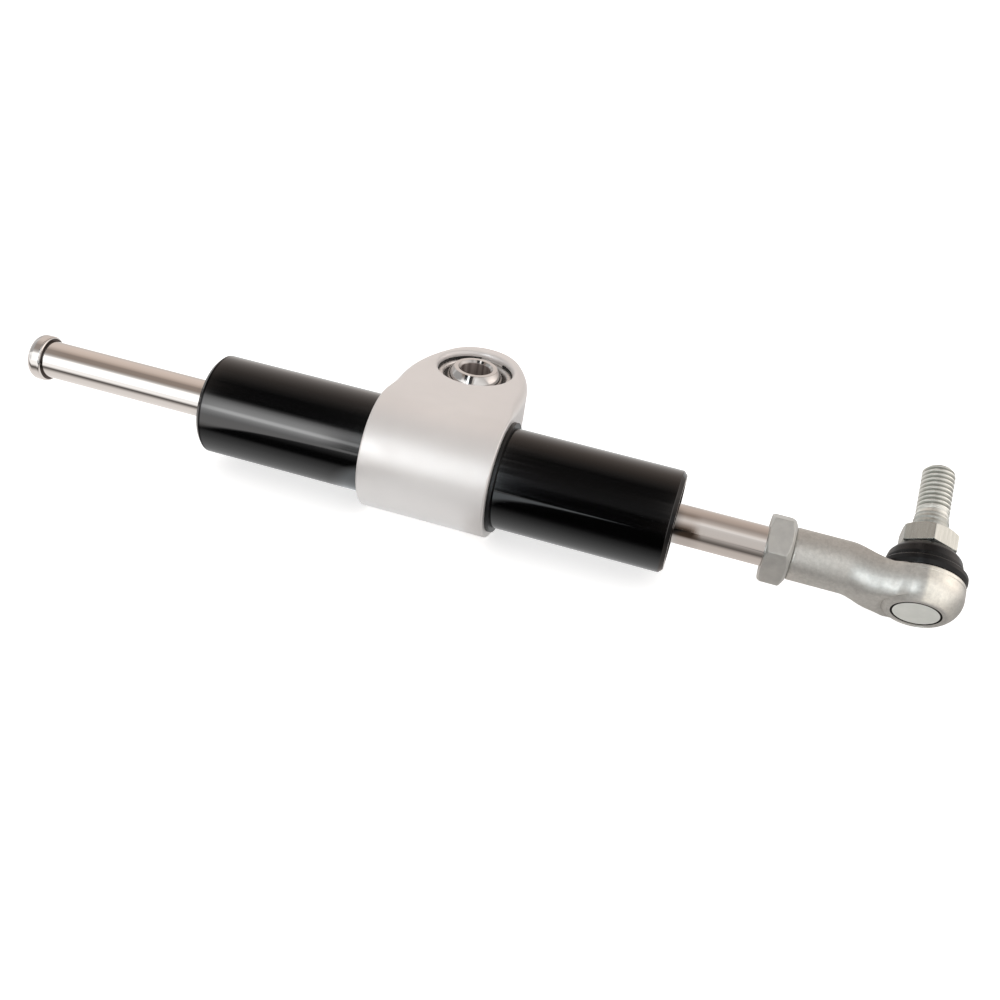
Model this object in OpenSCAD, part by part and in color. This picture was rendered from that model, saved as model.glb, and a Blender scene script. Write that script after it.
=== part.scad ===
// Steering damper: a through-rod hydraulic damper in a black tube, carried by a sleeve whose lug holds a
// spherical bearing, with a sealed ball joint on the rod's end. Millimetres. The origin is the centre of the
// spherical bearing, +X runs along the rod towards the ball joint, +Z runs up along the bearing's bore.

/* [Tube] */
// Outside diameter of the tube
tube_d = 26; // [25:0.5:28]
// Length of the tube
tube_l = 123.8; // [120:0.1:150]
// Shift of the tube along the rod from the sleeve's middle
tube_shift = -0.25; // [-1:0.05:1]
// Bore of the tube
tube_bore = 20; // [19:0.5:21]
// Chamfer round both ends of the tube
tube_chamfer = 1; // [0.4:0.1:1.4]

/* [Mounting sleeve] */
// Outside diameter of the sleeve round the tube
sleeve_d = 32; // [31:0.5:36]
// Length of the sleeve along the tube
sleeve_l = 33.3; // [31:0.1:40]
// Thickness of the lug that holds the bearing
lug_t = 11; // [10:0.5:13]
// Distance of the bearing's axis behind the tube's axis
lug_offset = 25; // [25:0.5:32]
// Reach of the lug past the bearing's axis
lug_reach = 14.7; // [13.5:0.1:18]
// Radius of the lug's round end
lug_tip_r = 11.9; // [9:0.1:13]
// Distance behind the tube's axis at which the lug starts to narrow
lug_root = 12.5; // [2:0.5:14]
// Radius of the hollow corner under the lug
lug_fillet = 3; // [1:0.5:4]
// Thickness of the rings that hold the sleeve on the tube
sleeve_ring_t = 1; // [0.8:0.1:1.4]
// Height of those rings above the tube
sleeve_ring_h = 1.3; // [0.8:0.1:2]

/* [Spherical bearing] */
// Outside diameter of the bearing's race
race_d = 20; // [19:0.5:21]
// Width of the race
race_w = 7; // [6:0.5:7.5]
// Bevel round the race's inner edges
race_bevel = 0.75; // [0.3:0.05:0.9]
// Diameter of the bearing's ball
ball_d = 16; // [15:0.5:16.5]
// Width of the ball over its flat faces
ball_w = 11; // [9:0.5:12]
// Bore of the ball
ball_bore = 8; // [6:1:8]
// Thickness of the sliding liner between ball and race
liner_t = 0.5; // [0.4:0.1:0.8]
// Thickness of the snap ring over the race
snap_t = 0.9; // [0.8:0.1:1.1]
// Radial width of the snap ring
snap_w = 1; // [0.8:0.1:1.4]
// Gap between the snap ring's ends
snap_gap = 7; // [3:0.5:10]
// Direction of the snap ring's gap, from +X
snap_turn = 77; // [0:1:359]

/* [Rod] */
// Diameter of the rod
rod_d = 10; // [9:0.5:11]
// Bare rod between the tube and the stop cap
rod_out_left = 49.85; // [40:0.05:55]
// Bare rod between the tube and the lock nut
rod_out_right = 22.3; // [18:0.1:30]
// Outside diameter of the stop cap
cap_d = 12.3; // [11.5:0.1:15]
// Length of the stop cap
cap_l = 4.2; // [3.8:0.1:8]
// Rounding of the stop cap's outer end
cap_round = 2; // [0.5:0.1:2.5]
// Diameter of the threaded spigot in the stop cap
spigot_d = 6; // [5:0.5:7]
// Length of that spigot
spigot_l = 2.6; // [2:0.1:3]

/* [Lock nut] */
// Width of the lock nut across flats
nut_af = 16; // [15.5:0.5:19]
// Thickness of the lock nut
nut_t = 6.25; // [5:0.25:8]
// Turn of the nut's corners about the rod
nut_turn = 58; // [0:1:59]

/* [Rod guides] */
// Length of the gland inside its circlip
gland_l = 15.2; // [14.6:0.1:17]
// Depth of the circlip below the tube's end
circlip_in = 1.6; // [1.4:0.1:2.4]
// Thickness of the gland's circlip
circlip_t = 1.2; // [1:0.1:1.5]
// Diameter of the gland's nose inside the circlip
nose_d = 16.6; // [16:0.1:17]
// Depth of the nose's face below the tube's end
nose_in = 0.6; // [0.4:0.1:1]
// Wall of the guide bush
bush_t = 1.2; // [0.8:0.1:1.6]
// Length of the guide bush
bush_l = 7.8; // [6:0.1:8]
// Length of the rod seal
seal_l = 3.2; // [2.6:0.1:3.6]
// Radial width of the rod seal
seal_w = 2.8; // [2.2:0.1:3]
// Length of the wiper
wiper_l = 2.4; // [2:0.1:2.6]
// Radial width of the wiper
wiper_w = 2.1; // [1.8:0.1:2.4]
// Depth of the groove for the gland's sealing ring
gland_groove = 1.45; // [1.2:0.05:1.8]

/* [Piston] */
// Length of the piston
piston_l = 12; // [10:0.5:14]
// Width of the piston's sliding band
band_w = 4.1; // [3:0.1:5]
// Thickness of that band
band_t = 1; // [0.8:0.1:1.3]
// Section of the rubber ring under the band
energizer_d = 1.15; // [1:0.05:1.3]
// Radial width of the rings that hold the piston on the rod
keeper_w = 1.7; // [1.4:0.1:1.8]
// Thickness of those rings
keeper_t = 1; // [0.8:0.1:1.4]
// Diameter of the bleed ports through the piston
port_d = 1.1; // [0.8:0.1:1.2]
// Number of bleed ports
ports = 4; // [2:1:8]

/* [Ball joint] */
// Diameter of the housing's shank
shank_d = 13; // [12.5:0.5:15]
// Distance of the ball's centre from the shank's end
shank_l = 31.05; // [29:0.05:38]
// Depth of the rod's thread in the shank
thread_in = 16; // [10:0.5:16.5]
// Diameter of the housing's round head
head_d = 20.4; // [20:0.2:25]
// Height of the head below the ball's centre
head_low = 7.3; // [7.3:0.1:9]
// Height of the head above the ball's centre
head_high = 1.2; // [1:0.1:3]
// Rounding round the bottom of the head
head_round = 5; // [4:0.1:5.5]
// Diameter of the flat face round the closing plug
head_flat = 14.3; // [13.6:0.1:15]
// Diameter of the stud's ball
stud_ball_d = 13; // [12.5:0.1:13.2]
// Wall of the ball's seat
seat_t = 1.1; // [1:0.1:1.3]
// Visible diameter of the closing plug
plug_d = 11.5; // [10:0.1:12.5]
// Roll of the stud away from the bearing's bore direction
joint_roll = 58; // [0:1:90]

/* [Ball stud] */
// Thread diameter of the stud
stud_d = 8; // [7:0.5:8.5]
// Height of the stud's end above the ball's centre
stud_h = 32.5; // [28:0.5:40]
// Diameter of the stud's neck
neck_d = 8.4; // [7.6:0.1:8.4]
// Width of the stud's hexagon across flats
hex_af = 12.6; // [12:0.1:15]
// Height of the hexagon's underside above the ball's centre
hex_low = 9.75; // [9.75:0.05:12]
// Thickness of the hexagon
hex_t = 4.9; // [3.5:0.1:6]
// Turn of the hexagon's corners about the stud
hex_turn = 28; // [0:1:59]
// Length of the plain collar above the hexagon
collar_l = 4.6; // [3:0.1:6]
// Diameter of the collar at the hexagon
collar_d = 9.6; // [9:0.2:11]

/* [Boot] */
// Diameter over the boot's lower lip
boot_d = 20.8; // [20.4:0.1:24]
// Wall of the boot's dome
boot_t = 1.2; // [0.8:0.1:1.5]
// Diameter of the housing's collar inside the boot
spout_d = 16.8; // [16:0.1:17]
// Height of that collar above the ball's centre
spout_h = 5.4; // [5:0.1:5.6]
// Wall of the steel rings at the boot's two ends
boot_ring_t = 0.65; // [0.5:0.05:0.8]

/* [Fits] */
// Radial clearance of a sliding or turning fit
run_fit = 0.03; // [0.02:0.01:0.05]
// Radial clearance of a fixed fit
seat_fit = 0.01; // [0.01:0.01:0.02]
// Axial play of loose rings
end_play = 0.05; // [0.03:0.01:0.1]

/* [Hidden] */
$fn = 96;
over = 1;
bore_r = tube_bore / 2;
rod_r = rod_d / 2;
tube_r = tube_d / 2;
tube_end = tube_l / 2;
left_end = tube_shift - tube_end;
right_end = tube_shift + tube_end;

axis_y = -lug_offset;
axis_z = lug_t / 2 - sleeve_d / 2;

groove_depth = 0.7;
edge_break = 0.6;
sleeve_ring_r = tube_r + sleeve_ring_h;

lug_low = sleeve_d / 2 - lug_t;
lug_tip_y = lug_offset + lug_reach - lug_tip_r;
side_w = sleeve_l / 2;
side_dy = lug_tip_y - lug_root;
side_r = (side_w ^ 2 + side_dy ^ 2 - lug_tip_r ^ 2) / (2 * (side_w - lug_tip_r));
tangent_y = lug_tip_y + lug_tip_r * side_dy / (side_r - lug_tip_r);
fillet_z = lug_low - lug_fillet;
fillet_y = sqrt((sleeve_d / 2 + lug_fillet) ^ 2 - fillet_z ^ 2);
fillet_k = sleeve_d / 2 / (sleeve_d / 2 + lug_fillet);

ball_r = ball_d / 2;
liner_in = ball_r + run_fit;
liner_out = liner_in + liner_t;
liner_w = race_w - 2 * race_bevel - 2 * end_play;
race_in = liner_out + run_fit;
race_seat = race_d / 2 + seat_fit;
snap_out = race_d / 2 + 0.55;
shoulder_w = 1.1;
bore_chamfer = 0.6;
seat_chamfer = 0.9;

cap_x = left_end - rod_out_left;
nut_x = right_end + rod_out_right;
shank_x = nut_x + nut_t;
joint_x = shank_x + shank_l;
piston_x = tube_shift + (rod_out_right - rod_out_left) / 2;
keeper_depth = 0.5;
keeper_r = rod_r - keeper_depth + keeper_w;

gland_in = circlip_in + circlip_t;
gland_end = gland_in + gland_l;
gland_r = bore_r - run_fit;
gland_groove_r = gland_r - gland_groove;
gland_groove_w = 2.6;
gland_groove_in = gland_end - 6.5;
gland_ring_d = bore_r - gland_groove_r - 2 * seat_fit;
circlip_depth = 0.8;
rod_gap = 0.3;
bush_in = gland_end - bush_l - 2 * end_play;
seal_in = bush_in - 1.4 - seal_l;
seal_pocket = rod_r + seal_w + seat_fit;
wiper_pocket = rod_r + wiper_w + seat_fit;

piston_r = bore_r - 0.08;
band_out = bore_r - run_fit;
band_in = band_out - band_t;
energizer_out = band_in - seat_fit;
band_groove_r = energizer_out - energizer_d - end_play;
port_r = (band_groove_r + keeper_r) / 2;

stud_ball_r = stud_ball_d / 2;
seat_in = stud_ball_r + run_fit;
pocket_r = seat_in + seat_t;
seat_top = 3.4;
plug_lip = 0.4;
plug_t = 0.6;
spout_r = spout_d / 2;
mouth_r = 5.65;
mouth_top_r = 6.6;
neck_l = 11;
neck_flare = 1.2;
neck_start = 17;
boot_clear = 1;
boot_slope = 1.3;
boot_r = boot_d / 2;
boot_low = head_high + end_play;
boot_top = hex_low - 2 * end_play;
boot_ring_l = 1.8;
boot_ring_in = boot_low + 0.7;
neck_ring_in = boot_top - 1.5;
neck_ring_r = neck_d / 2 + run_fit + boot_ring_t;
stud_chamfer = 0.8;

// Local z runs along +X on the tube's axis
module on_tube() {
    translate([0, axis_y, axis_z]) rotate([0, 90, 0]) children();
}

// Local z runs inwards from one end of the tube: side is -1 for the left end, 1 for the right
module at_end(side) {
    on_tube() translate([0, 0, tube_shift + side * tube_end]) mirror([0, 0, (side + 1) / 2]) children();
}

// Local z runs along the stud from the centre of its ball
module on_joint() {
    translate([joint_x, axis_y, axis_z]) rotate([-joint_roll, 0, 0]) children();
}

module lathe(points) {
    rotate_extrude() polygon(points);
}

// Plain ring between two radii and two heights
module ring(r_in, r_out, low, high) {
    lathe([[r_in, low], [r_out, low], [r_out, high], [r_in, high]]);
}

// Spring ring with a gap
module split_ring(r_in, r_out, low, high, gap, turn) {
    difference() {
        ring(r_in, r_out, low, high);
        rotate([0, 0, turn]) translate([0, -gap / 2, low - over])
            cube([r_out + over, gap, high - low + 2 * over]);
    }
}

// Hexagonal prism with both ends turned to a cone of 30 degrees
module hex_block(af, thickness, turn, low_r, high_r) {
    corner = af / sqrt(3);
    rim = corner + over;
    low_rise = (rim - low_r) * tan(30);
    high_rise = (rim - high_r) * tan(30);
    rotate([0, 0, turn]) intersection() {
        cylinder(h = thickness, r = corner, $fn = 6);
        rotate([0, 0, 15]) lathe([[0, 0], [low_r, 0], [rim, low_rise], [rim, thickness - high_rise],
                                  [high_r, thickness], [0, thickness]]);
    }
}

module damper_tube() {
    clip_r = bore_r + circlip_depth;
    ring_r = tube_r - groove_depth;
    color([0.06, 0.06, 0.07]) on_tube() lathe([
        [bore_r, left_end], [tube_r - tube_chamfer, left_end], [tube_r, left_end + tube_chamfer],
        [tube_r, -side_w], [ring_r, -side_w],
        [ring_r, sleeve_ring_t - side_w], [tube_r, sleeve_ring_t - side_w],
        [tube_r, side_w], [ring_r, side_w],
        [ring_r, side_w + sleeve_ring_t], [tube_r, side_w + sleeve_ring_t],
        [tube_r, right_end - tube_chamfer], [tube_r - tube_chamfer, right_end], [bore_r, right_end],
        [bore_r, right_end - circlip_in], [clip_r, right_end - circlip_in],
        [clip_r, right_end - gland_in], [bore_r, right_end - gland_in],
        [bore_r, left_end + gland_in], [clip_r, left_end + gland_in],
        [clip_r, left_end + circlip_in], [bore_r, left_end + circlip_in]
    ]);
}

module gland(side) {
    groove_end = gland_groove_in + gland_groove_w;
    clear_r = rod_r + rod_gap;
    bush_r = rod_r + run_fit + bush_t + seat_fit;
    color([0.62, 0.63, 0.65]) at_end(side) lathe([
        [wiper_pocket, nose_in], [nose_d / 2, nose_in], [nose_d / 2, gland_in], [gland_r, gland_in],
        [gland_r, gland_groove_in], [gland_groove_r, gland_groove_in], [gland_groove_r, groove_end],
        [gland_r, groove_end], [gland_r, gland_end], [bush_r, gland_end], [bush_r, bush_in],
        [clear_r, bush_in], [clear_r, seal_in + seal_l + end_play], [seal_pocket, seal_in + seal_l + end_play],
        [seal_pocket, seal_in - end_play], [clear_r, seal_in - end_play], [clear_r, nose_in + wiper_l + end_play],
        [wiper_pocket, nose_in + wiper_l + end_play]
    ]);
}

module guide_bush(side) {
    color([0.72, 0.52, 0.26]) at_end(side)
        ring(rod_r + run_fit, rod_r + run_fit + bush_t, bush_in + end_play, bush_in + end_play + bush_l);
}

module rod_seal(side) {
    r_in = rod_r + run_fit;
    r_out = rod_r + seal_w;
    r_mid = (r_in + r_out) / 2;
    color([0.08, 0.08, 0.08]) at_end(side) lathe([
        [r_in, seal_in], [r_out, seal_in], [r_out, seal_in + seal_l], [r_mid + edge_break / 2, seal_in + seal_l],
        [r_mid, seal_in + seal_l / 2], [r_mid - edge_break / 2, seal_in + seal_l], [r_in, seal_in + seal_l]
    ]);
}

module wiper(side) {
    r_in = rod_r + run_fit;
    r_out = rod_r + wiper_w;
    color([0.1, 0.1, 0.1]) at_end(side) lathe([
        [r_in, nose_in + wiper_l], [r_in, nose_in], [r_in + edge_break / 2, nose_in],
        [r_in + edge_break * 1.5, nose_in + edge_break], [r_out, nose_in + edge_break], [r_out, nose_in + wiper_l]
    ]);
}

module gland_oring(side) {
    color([0.07, 0.07, 0.07]) at_end(side)
        rotate_extrude() translate([(gland_groove_r + bore_r) / 2, gland_groove_in + gland_groove_w / 2])
            circle(d = gland_ring_d);
}

module gland_circlip(side) {
    color([0.3, 0.3, 0.31]) at_end(side)
        split_ring(nose_d / 2 + rod_gap, bore_r + circlip_depth - seat_fit, circlip_in, gland_in, 4, 90);
}

// Section across the tube: sleeve ring, lug and the hollow corner under it
module sleeve_section() {
    circle(d = sleeve_d);
    translate([0, lug_low]) square([lug_offset + lug_reach + over, lug_t]);
    difference() {
        polygon([[0, 0], [fillet_k * fillet_y, fillet_k * fillet_z], [fillet_y, fillet_z],
                 [fillet_y, lug_low + over], [0, lug_low + over]]);
        translate([fillet_y, fillet_z]) circle(r = lug_fillet);
    }
}

// Plan outline: straight over the tube, drawn in by two side arcs, closed by a round end
module sleeve_plan() {
    translate([-side_w, -sleeve_d]) square([sleeve_l, sleeve_d + lug_root]);
    intersection() {
        translate([side_w - side_r, lug_root]) circle(r = side_r);
        translate([side_r - side_w, lug_root]) circle(r = side_r);
        translate([-side_w, 0]) square([sleeve_l, tangent_y]);
    }
    translate([0, lug_tip_y]) circle(r = lug_tip_r);
}

module mount_sleeve() {
    fit_r = tube_r + seat_fit;
    half = side_w;
    top = lug_t / 2;
    shelf = race_w / 2;
    snap_top = shelf + snap_t + end_play;
    mouth = max(top - seat_chamfer, snap_top + 2 * end_play);
    color([0.82, 0.81, 0.79]) difference() {
        intersection() {
            translate([-half, axis_y, axis_z]) rotate([90, 0, 90]) linear_extrude(sleeve_l) sleeve_section();
            translate([0, axis_y, axis_z - sleeve_d]) linear_extrude(2 * sleeve_d) sleeve_plan();
        }
        on_tube() lathe([
            [0, -half - over], [sleeve_ring_r + rod_gap, -half - over], [sleeve_ring_r + rod_gap, sleeve_ring_t - half],
            [fit_r, sleeve_ring_t - half], [fit_r, half - edge_break],
            [fit_r + edge_break + over, half + over], [0, half + over]
        ]);
        lathe([
            [0, -top - over], [race_seat - shoulder_w, -top - over], [race_seat - shoulder_w, -shelf],
            [race_seat, -shelf], [race_seat, shelf], [snap_out, shelf], [snap_out, snap_top], [race_seat, snap_top],
            [race_seat, mouth], [race_seat + top - mouth + over, top + over], [0, top + over]
        ]);
    }
}

module sleeve_ring(side) {
    start = side < 0 ? -side_w : side_w;
    color([0.05, 0.05, 0.05]) on_tube()
        split_ring(tube_r - groove_depth + seat_fit, sleeve_ring_r, start, start + sleeve_ring_t, 3, 0);
}

// Race with a spherical seat and bevelled inner edges
module bearing_race() {
    half = race_w / 2;
    bevel_r = ball_r + race_bevel;
    color([0.72, 0.73, 0.74]) difference() {
        cylinder(h = race_w, d = race_d, center = true);
        sphere(r = race_in);
        for (side = [0, 1])
            mirror([0, 0, side]) lathe([[0, half - race_bevel], [bevel_r - race_bevel, half - race_bevel],
                                        [bevel_r + over, half + over], [0, half + over]]);
    }
}

module bearing_snap_ring() {
    low = race_w / 2;
    color([0.12, 0.12, 0.12])
        split_ring(snap_out - snap_w, snap_out - seat_fit, low, low + snap_t, snap_gap, snap_turn);
}

module bearing_liner() {
    color([0.42, 0.36, 0.24]) difference() {
        intersection() {
            sphere(r = liner_out);
            cube([race_d, race_d, liner_w], center = true);
        }
        sphere(r = liner_in);
    }
}

module bearing_ball() {
    mouth = ball_bore / 2 + bore_chamfer;
    color([0.85, 0.85, 0.86]) difference() {
        intersection() {
            sphere(r = ball_r);
            cube([ball_d, ball_d, ball_w], center = true);
        }
        lathe([
            [0, -ball_w / 2 - over], [mouth + over, -ball_w / 2 - over], [ball_bore / 2, bore_chamfer - ball_w / 2],
            [ball_bore / 2, ball_w / 2 - bore_chamfer], [mouth + over, ball_w / 2 + over], [0, ball_w / 2 + over]
        ]);
    }
}

module piston_rod() {
    spigot_r = spigot_d / 2;
    keeper_in = rod_r - keeper_depth;
    half = piston_l / 2;
    end_x = shank_x + thread_in;
    color([0.8, 0.79, 0.77]) on_tube() lathe([
        [0, cap_x - spigot_l], [spigot_r, cap_x - spigot_l], [spigot_r, cap_x], [rod_r, cap_x],
        [rod_r, piston_x - half - keeper_t], [keeper_in, piston_x - half - keeper_t],
        [keeper_in, piston_x - half], [rod_r, piston_x - half],
        [rod_r, piston_x + half], [keeper_in, piston_x + half],
        [keeper_in, piston_x + half + keeper_t], [rod_r, piston_x + half + keeper_t],
        [rod_r, end_x - edge_break], [rod_r - edge_break, end_x], [0, end_x]
    ]);
}

module piston() {
    groove = band_w / 2 + end_play;
    half = piston_l / 2;
    color([0.66, 0.62, 0.5]) on_tube() translate([0, 0, piston_x]) difference() {
        lathe([
            [rod_r + seat_fit, -half], [piston_r - edge_break, -half], [piston_r, edge_break - half],
            [piston_r, -groove], [band_groove_r, -groove], [band_groove_r, groove], [piston_r, groove],
            [piston_r, half - edge_break], [piston_r - edge_break, half], [rod_r + seat_fit, half]
        ]);
        for (k = [0 : ports - 1])
            rotate([0, 0, k * 360 / ports]) translate([port_r, 0, -half - over])
                cylinder(h = piston_l + 2 * over, d = port_d);
    }
}

module piston_band() {
    color([0.25, 0.3, 0.28]) on_tube() translate([0, 0, piston_x])
        ring(band_in, band_out, -band_w / 2, band_w / 2);
}

module band_energizer() {
    color([0.07, 0.07, 0.07]) on_tube() translate([0, 0, piston_x])
        rotate_extrude() translate([energizer_out - energizer_d / 2, 0]) circle(d = energizer_d);
}

module piston_keeper(side) {
    start = piston_x + (side < 0 ? -piston_l / 2 - keeper_t : piston_l / 2);
    color([0.3, 0.3, 0.31]) on_tube()
        split_ring(rod_r - keeper_depth + seat_fit, keeper_r, start, start + keeper_t, 2.5, 90);
}

// Closed cap with a round outer end, screwed on the rod's spigot
module stop_cap() {
    cap_r = cap_d / 2;
    flat_r = cap_r - cap_round;
    color([0.8, 0.79, 0.78]) on_tube() translate([0, 0, cap_x]) rotate([180, 0, 0]) difference() {
        rotate_extrude() {
            square([cap_r, cap_l - cap_round]);
            square([flat_r, cap_l]);
            intersection() {
                translate([flat_r, cap_l - cap_round]) circle(r = cap_round);
                square([cap_r, cap_l]);
            }
        }
        translate([0, 0, -over]) cylinder(h = spigot_l + over + end_play, r = spigot_d / 2 + seat_fit);
    }
}

module lock_nut() {
    color([0.62, 0.62, 0.6]) on_tube() translate([0, 0, nut_x]) difference() {
        hex_block(nut_af, nut_t, nut_turn, nut_af / 2 + 0.2, nut_af / 2 - 1);
        translate([0, 0, -over]) cylinder(h = nut_t + 2 * over, r = rod_r + seat_fit);
    }
}

// Round head with a rounded bottom that a flat face cuts off, and a short collar for the boot
module joint_head() {
    head_r = head_d / 2;
    arc_r = head_r - head_round;
    arc_h = sqrt(head_round ^ 2 - (head_flat / 2 - arc_r) ^ 2) - head_low;
    rotate_extrude() {
        translate([0, arc_h]) square([head_r, head_high - arc_h]);
        translate([0, -head_low]) square([arc_r, arc_h + head_low]);
        intersection() {
            translate([arc_r, arc_h]) circle(r = head_round);
            translate([0, -head_low]) square([head_r, arc_h + head_low]);
        }
        square([spout_r, spout_h]);
    }
}

// Shank and its flared neck, cut back round the boot and level with the bottom of the head
module joint_shank() {
    clear_r = boot_r + boot_clear;
    clear_h = shank_d;
    difference() {
        on_tube() union() {
            translate([0, 0, shank_x]) cylinder(h = shank_l, d = shank_d);
            translate([0, 0, joint_x - neck_start])
                cylinder(h = neck_l, r1 = shank_d / 2, r2 = shank_d / 2 + neck_flare);
        }
        on_joint() translate([0, 0, head_high])
            cylinder(h = clear_h, r1 = clear_r, r2 = clear_r + boot_slope * clear_h);
        on_joint() translate([-shank_l, -head_d, -head_low - head_d]) cube([2 * shank_l, 2 * head_d, head_d]);
    }
}

module joint_housing() {
    lip_r = plug_d / 2 + end_play;
    color([0.68, 0.68, 0.66]) difference() {
        union() {
            on_joint() joint_head();
            joint_shank();
        }
        on_joint() lathe([
            [0, -head_low - over], [lip_r, -head_low - over], [lip_r, plug_lip - head_low],
            [pocket_r, plug_lip - head_low], [pocket_r, seat_top], [mouth_r, seat_top],
            [mouth_top_r, spout_h], [mouth_top_r, spout_h + over], [0, spout_h + over]
        ]);
        on_tube() translate([0, 0, shank_x - over])
            cylinder(h = thread_in + over + edge_break, r = rod_r + seat_fit);
    }
}

module ball_seat() {
    low = plug_lip + plug_t - head_low + 2 * seat_fit;
    high = seat_top - 2 * seat_fit;
    color([0.9, 0.89, 0.84]) on_joint() difference() {
        translate([0, 0, low]) cylinder(h = high - low, r = pocket_r - seat_fit);
        sphere(r = seat_in);
    }
}

module joint_plug() {
    dish_r = 2.6;
    face = end_play - head_low;
    flange = plug_lip - head_low;
    color([0.83, 0.86, 0.82]) on_joint() lathe([
        [0, face], [plug_d / 2, face], [plug_d / 2, flange], [pocket_r - seat_fit, flange],
        [pocket_r - seat_fit, flange + plug_t], [dish_r, flange + plug_t],
        [dish_r, -stud_ball_r - 2 * end_play], [0, -stud_ball_r - 2 * end_play]
    ]);
}

// Rubber boot: a lip round the housing's collar, a crease and a dome up to the stud's neck
module boot() {
    foot_r = spout_r + seat_fit;
    pocket = foot_r + boot_ring_t + seat_fit;
    crease_r = boot_r - 1.4;
    top_r = neck_ring_r + end_play;
    color([0.05, 0.05, 0.05]) on_joint() lathe([
        [foot_r, boot_low], [boot_r - 0.4, boot_low], [boot_r, boot_low + 1.2], [boot_r, boot_low + 2.25],
        [boot_r - 0.5, boot_low + 2.7], [crease_r, boot_low + 3.1], [crease_r + 0.1, boot_low + 4],
        [crease_r - 0.4, boot_top - 2.35], [crease_r - 1.6, boot_top - 0.95], [crease_r - 3, boot_top - 0.15],
        [crease_r - 3.6, boot_top], [top_r, boot_top], [top_r, neck_ring_in - boot_t / 4],
        [crease_r - 3.4, boot_top - boot_t - 0.3], [crease_r - 1.8, boot_top - boot_t - 1.2],
        [foot_r, spout_h + boot_t / 3],
        [foot_r, boot_ring_in + boot_ring_l + end_play], [pocket, boot_ring_in + boot_ring_l + end_play],
        [pocket, boot_ring_in - end_play], [foot_r, boot_ring_in - end_play]
    ]);
}

module boot_lower_ring() {
    color([0.55, 0.55, 0.54]) on_joint()
        ring(spout_r + seat_fit, spout_r + seat_fit + boot_ring_t, boot_ring_in, boot_ring_in + boot_ring_l);
}

module boot_upper_ring() {
    color([0.55, 0.55, 0.54]) on_joint()
        ring(neck_ring_r - boot_ring_t, neck_ring_r, neck_ring_in, boot_top);
}

// Ball, neck, hexagon, tapered collar and thread in one forging
module ball_stud() {
    stud_r = stud_d / 2;
    hex_top = hex_low + hex_t;
    shoulder = hex_top + collar_l;
    color([0.78, 0.79, 0.72]) on_joint() union() {
        rotate_extrude() {
            intersection() {
                circle(r = stud_ball_r);
                translate([0, -stud_ball_d]) square([stud_ball_d, 2 * stud_ball_d]);
            }
            square([neck_d / 2, hex_top]);
            polygon([
                [0, hex_low + over], [collar_d / 2, hex_low + over], [collar_d / 2, hex_top],
                [stud_r, shoulder], [stud_r, stud_h - stud_chamfer], [stud_r - stud_chamfer, stud_h], [0, stud_h]
            ]);
        }
        translate([0, 0, hex_low]) hex_block(hex_af, hex_t, hex_turn, hex_af / 2 + 0.8, hex_af / 2 - 0.3);
    }
}

damper_tube();
gland(-1);  // gland_left
gland(1);  // gland_right
guide_bush(-1);  // guide_bush_left
guide_bush(1);  // guide_bush_right
rod_seal(-1);  // rod_seal_left
rod_seal(1);  // rod_seal_right
wiper(-1);  // wiper_left
wiper(1);  // wiper_right
gland_oring(-1);  // gland_oring_left
gland_oring(1);  // gland_oring_right
gland_circlip(-1);  // gland_circlip_left
gland_circlip(1);  // gland_circlip_right
mount_sleeve();
sleeve_ring(-1);  // sleeve_ring_left
sleeve_ring(1);  // sleeve_ring_right
bearing_race();
bearing_snap_ring();
bearing_liner();
bearing_ball();
piston_rod();
piston();
piston_band();
band_energizer();
piston_keeper(-1);  // piston_keeper_left
piston_keeper(1);  // piston_keeper_right
stop_cap();
lock_nut();
joint_housing();
ball_seat();
joint_plug();
boot();
boot_lower_ring();
boot_upper_ring();
ball_stud();
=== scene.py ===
import bmesh
import bpy
import numpy as np
from mathutils import Matrix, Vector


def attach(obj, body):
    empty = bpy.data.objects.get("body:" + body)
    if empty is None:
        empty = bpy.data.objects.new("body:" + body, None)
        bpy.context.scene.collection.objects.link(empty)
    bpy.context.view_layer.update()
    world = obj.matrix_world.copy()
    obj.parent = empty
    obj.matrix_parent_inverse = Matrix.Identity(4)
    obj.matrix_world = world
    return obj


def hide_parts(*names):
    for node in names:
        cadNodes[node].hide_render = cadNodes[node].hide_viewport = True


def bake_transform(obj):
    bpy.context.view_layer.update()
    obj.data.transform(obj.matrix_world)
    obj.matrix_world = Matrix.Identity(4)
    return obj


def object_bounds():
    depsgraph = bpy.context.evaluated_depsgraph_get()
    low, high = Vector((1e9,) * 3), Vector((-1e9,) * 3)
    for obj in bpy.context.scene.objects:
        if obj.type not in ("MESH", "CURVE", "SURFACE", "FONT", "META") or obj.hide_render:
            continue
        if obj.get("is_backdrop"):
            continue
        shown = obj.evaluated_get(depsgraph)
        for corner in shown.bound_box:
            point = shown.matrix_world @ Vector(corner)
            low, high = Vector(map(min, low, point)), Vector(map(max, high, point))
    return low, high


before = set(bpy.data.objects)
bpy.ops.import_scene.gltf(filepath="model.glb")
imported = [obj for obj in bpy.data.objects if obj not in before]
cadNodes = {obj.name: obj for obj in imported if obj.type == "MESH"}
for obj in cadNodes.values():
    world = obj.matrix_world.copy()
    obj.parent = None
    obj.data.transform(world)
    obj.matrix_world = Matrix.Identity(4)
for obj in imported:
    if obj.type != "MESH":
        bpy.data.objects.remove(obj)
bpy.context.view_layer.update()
bpy.context.scene.view_settings.view_transform = "Standard"
print("frame loaded:", len(cadNodes), "nodes")

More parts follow.
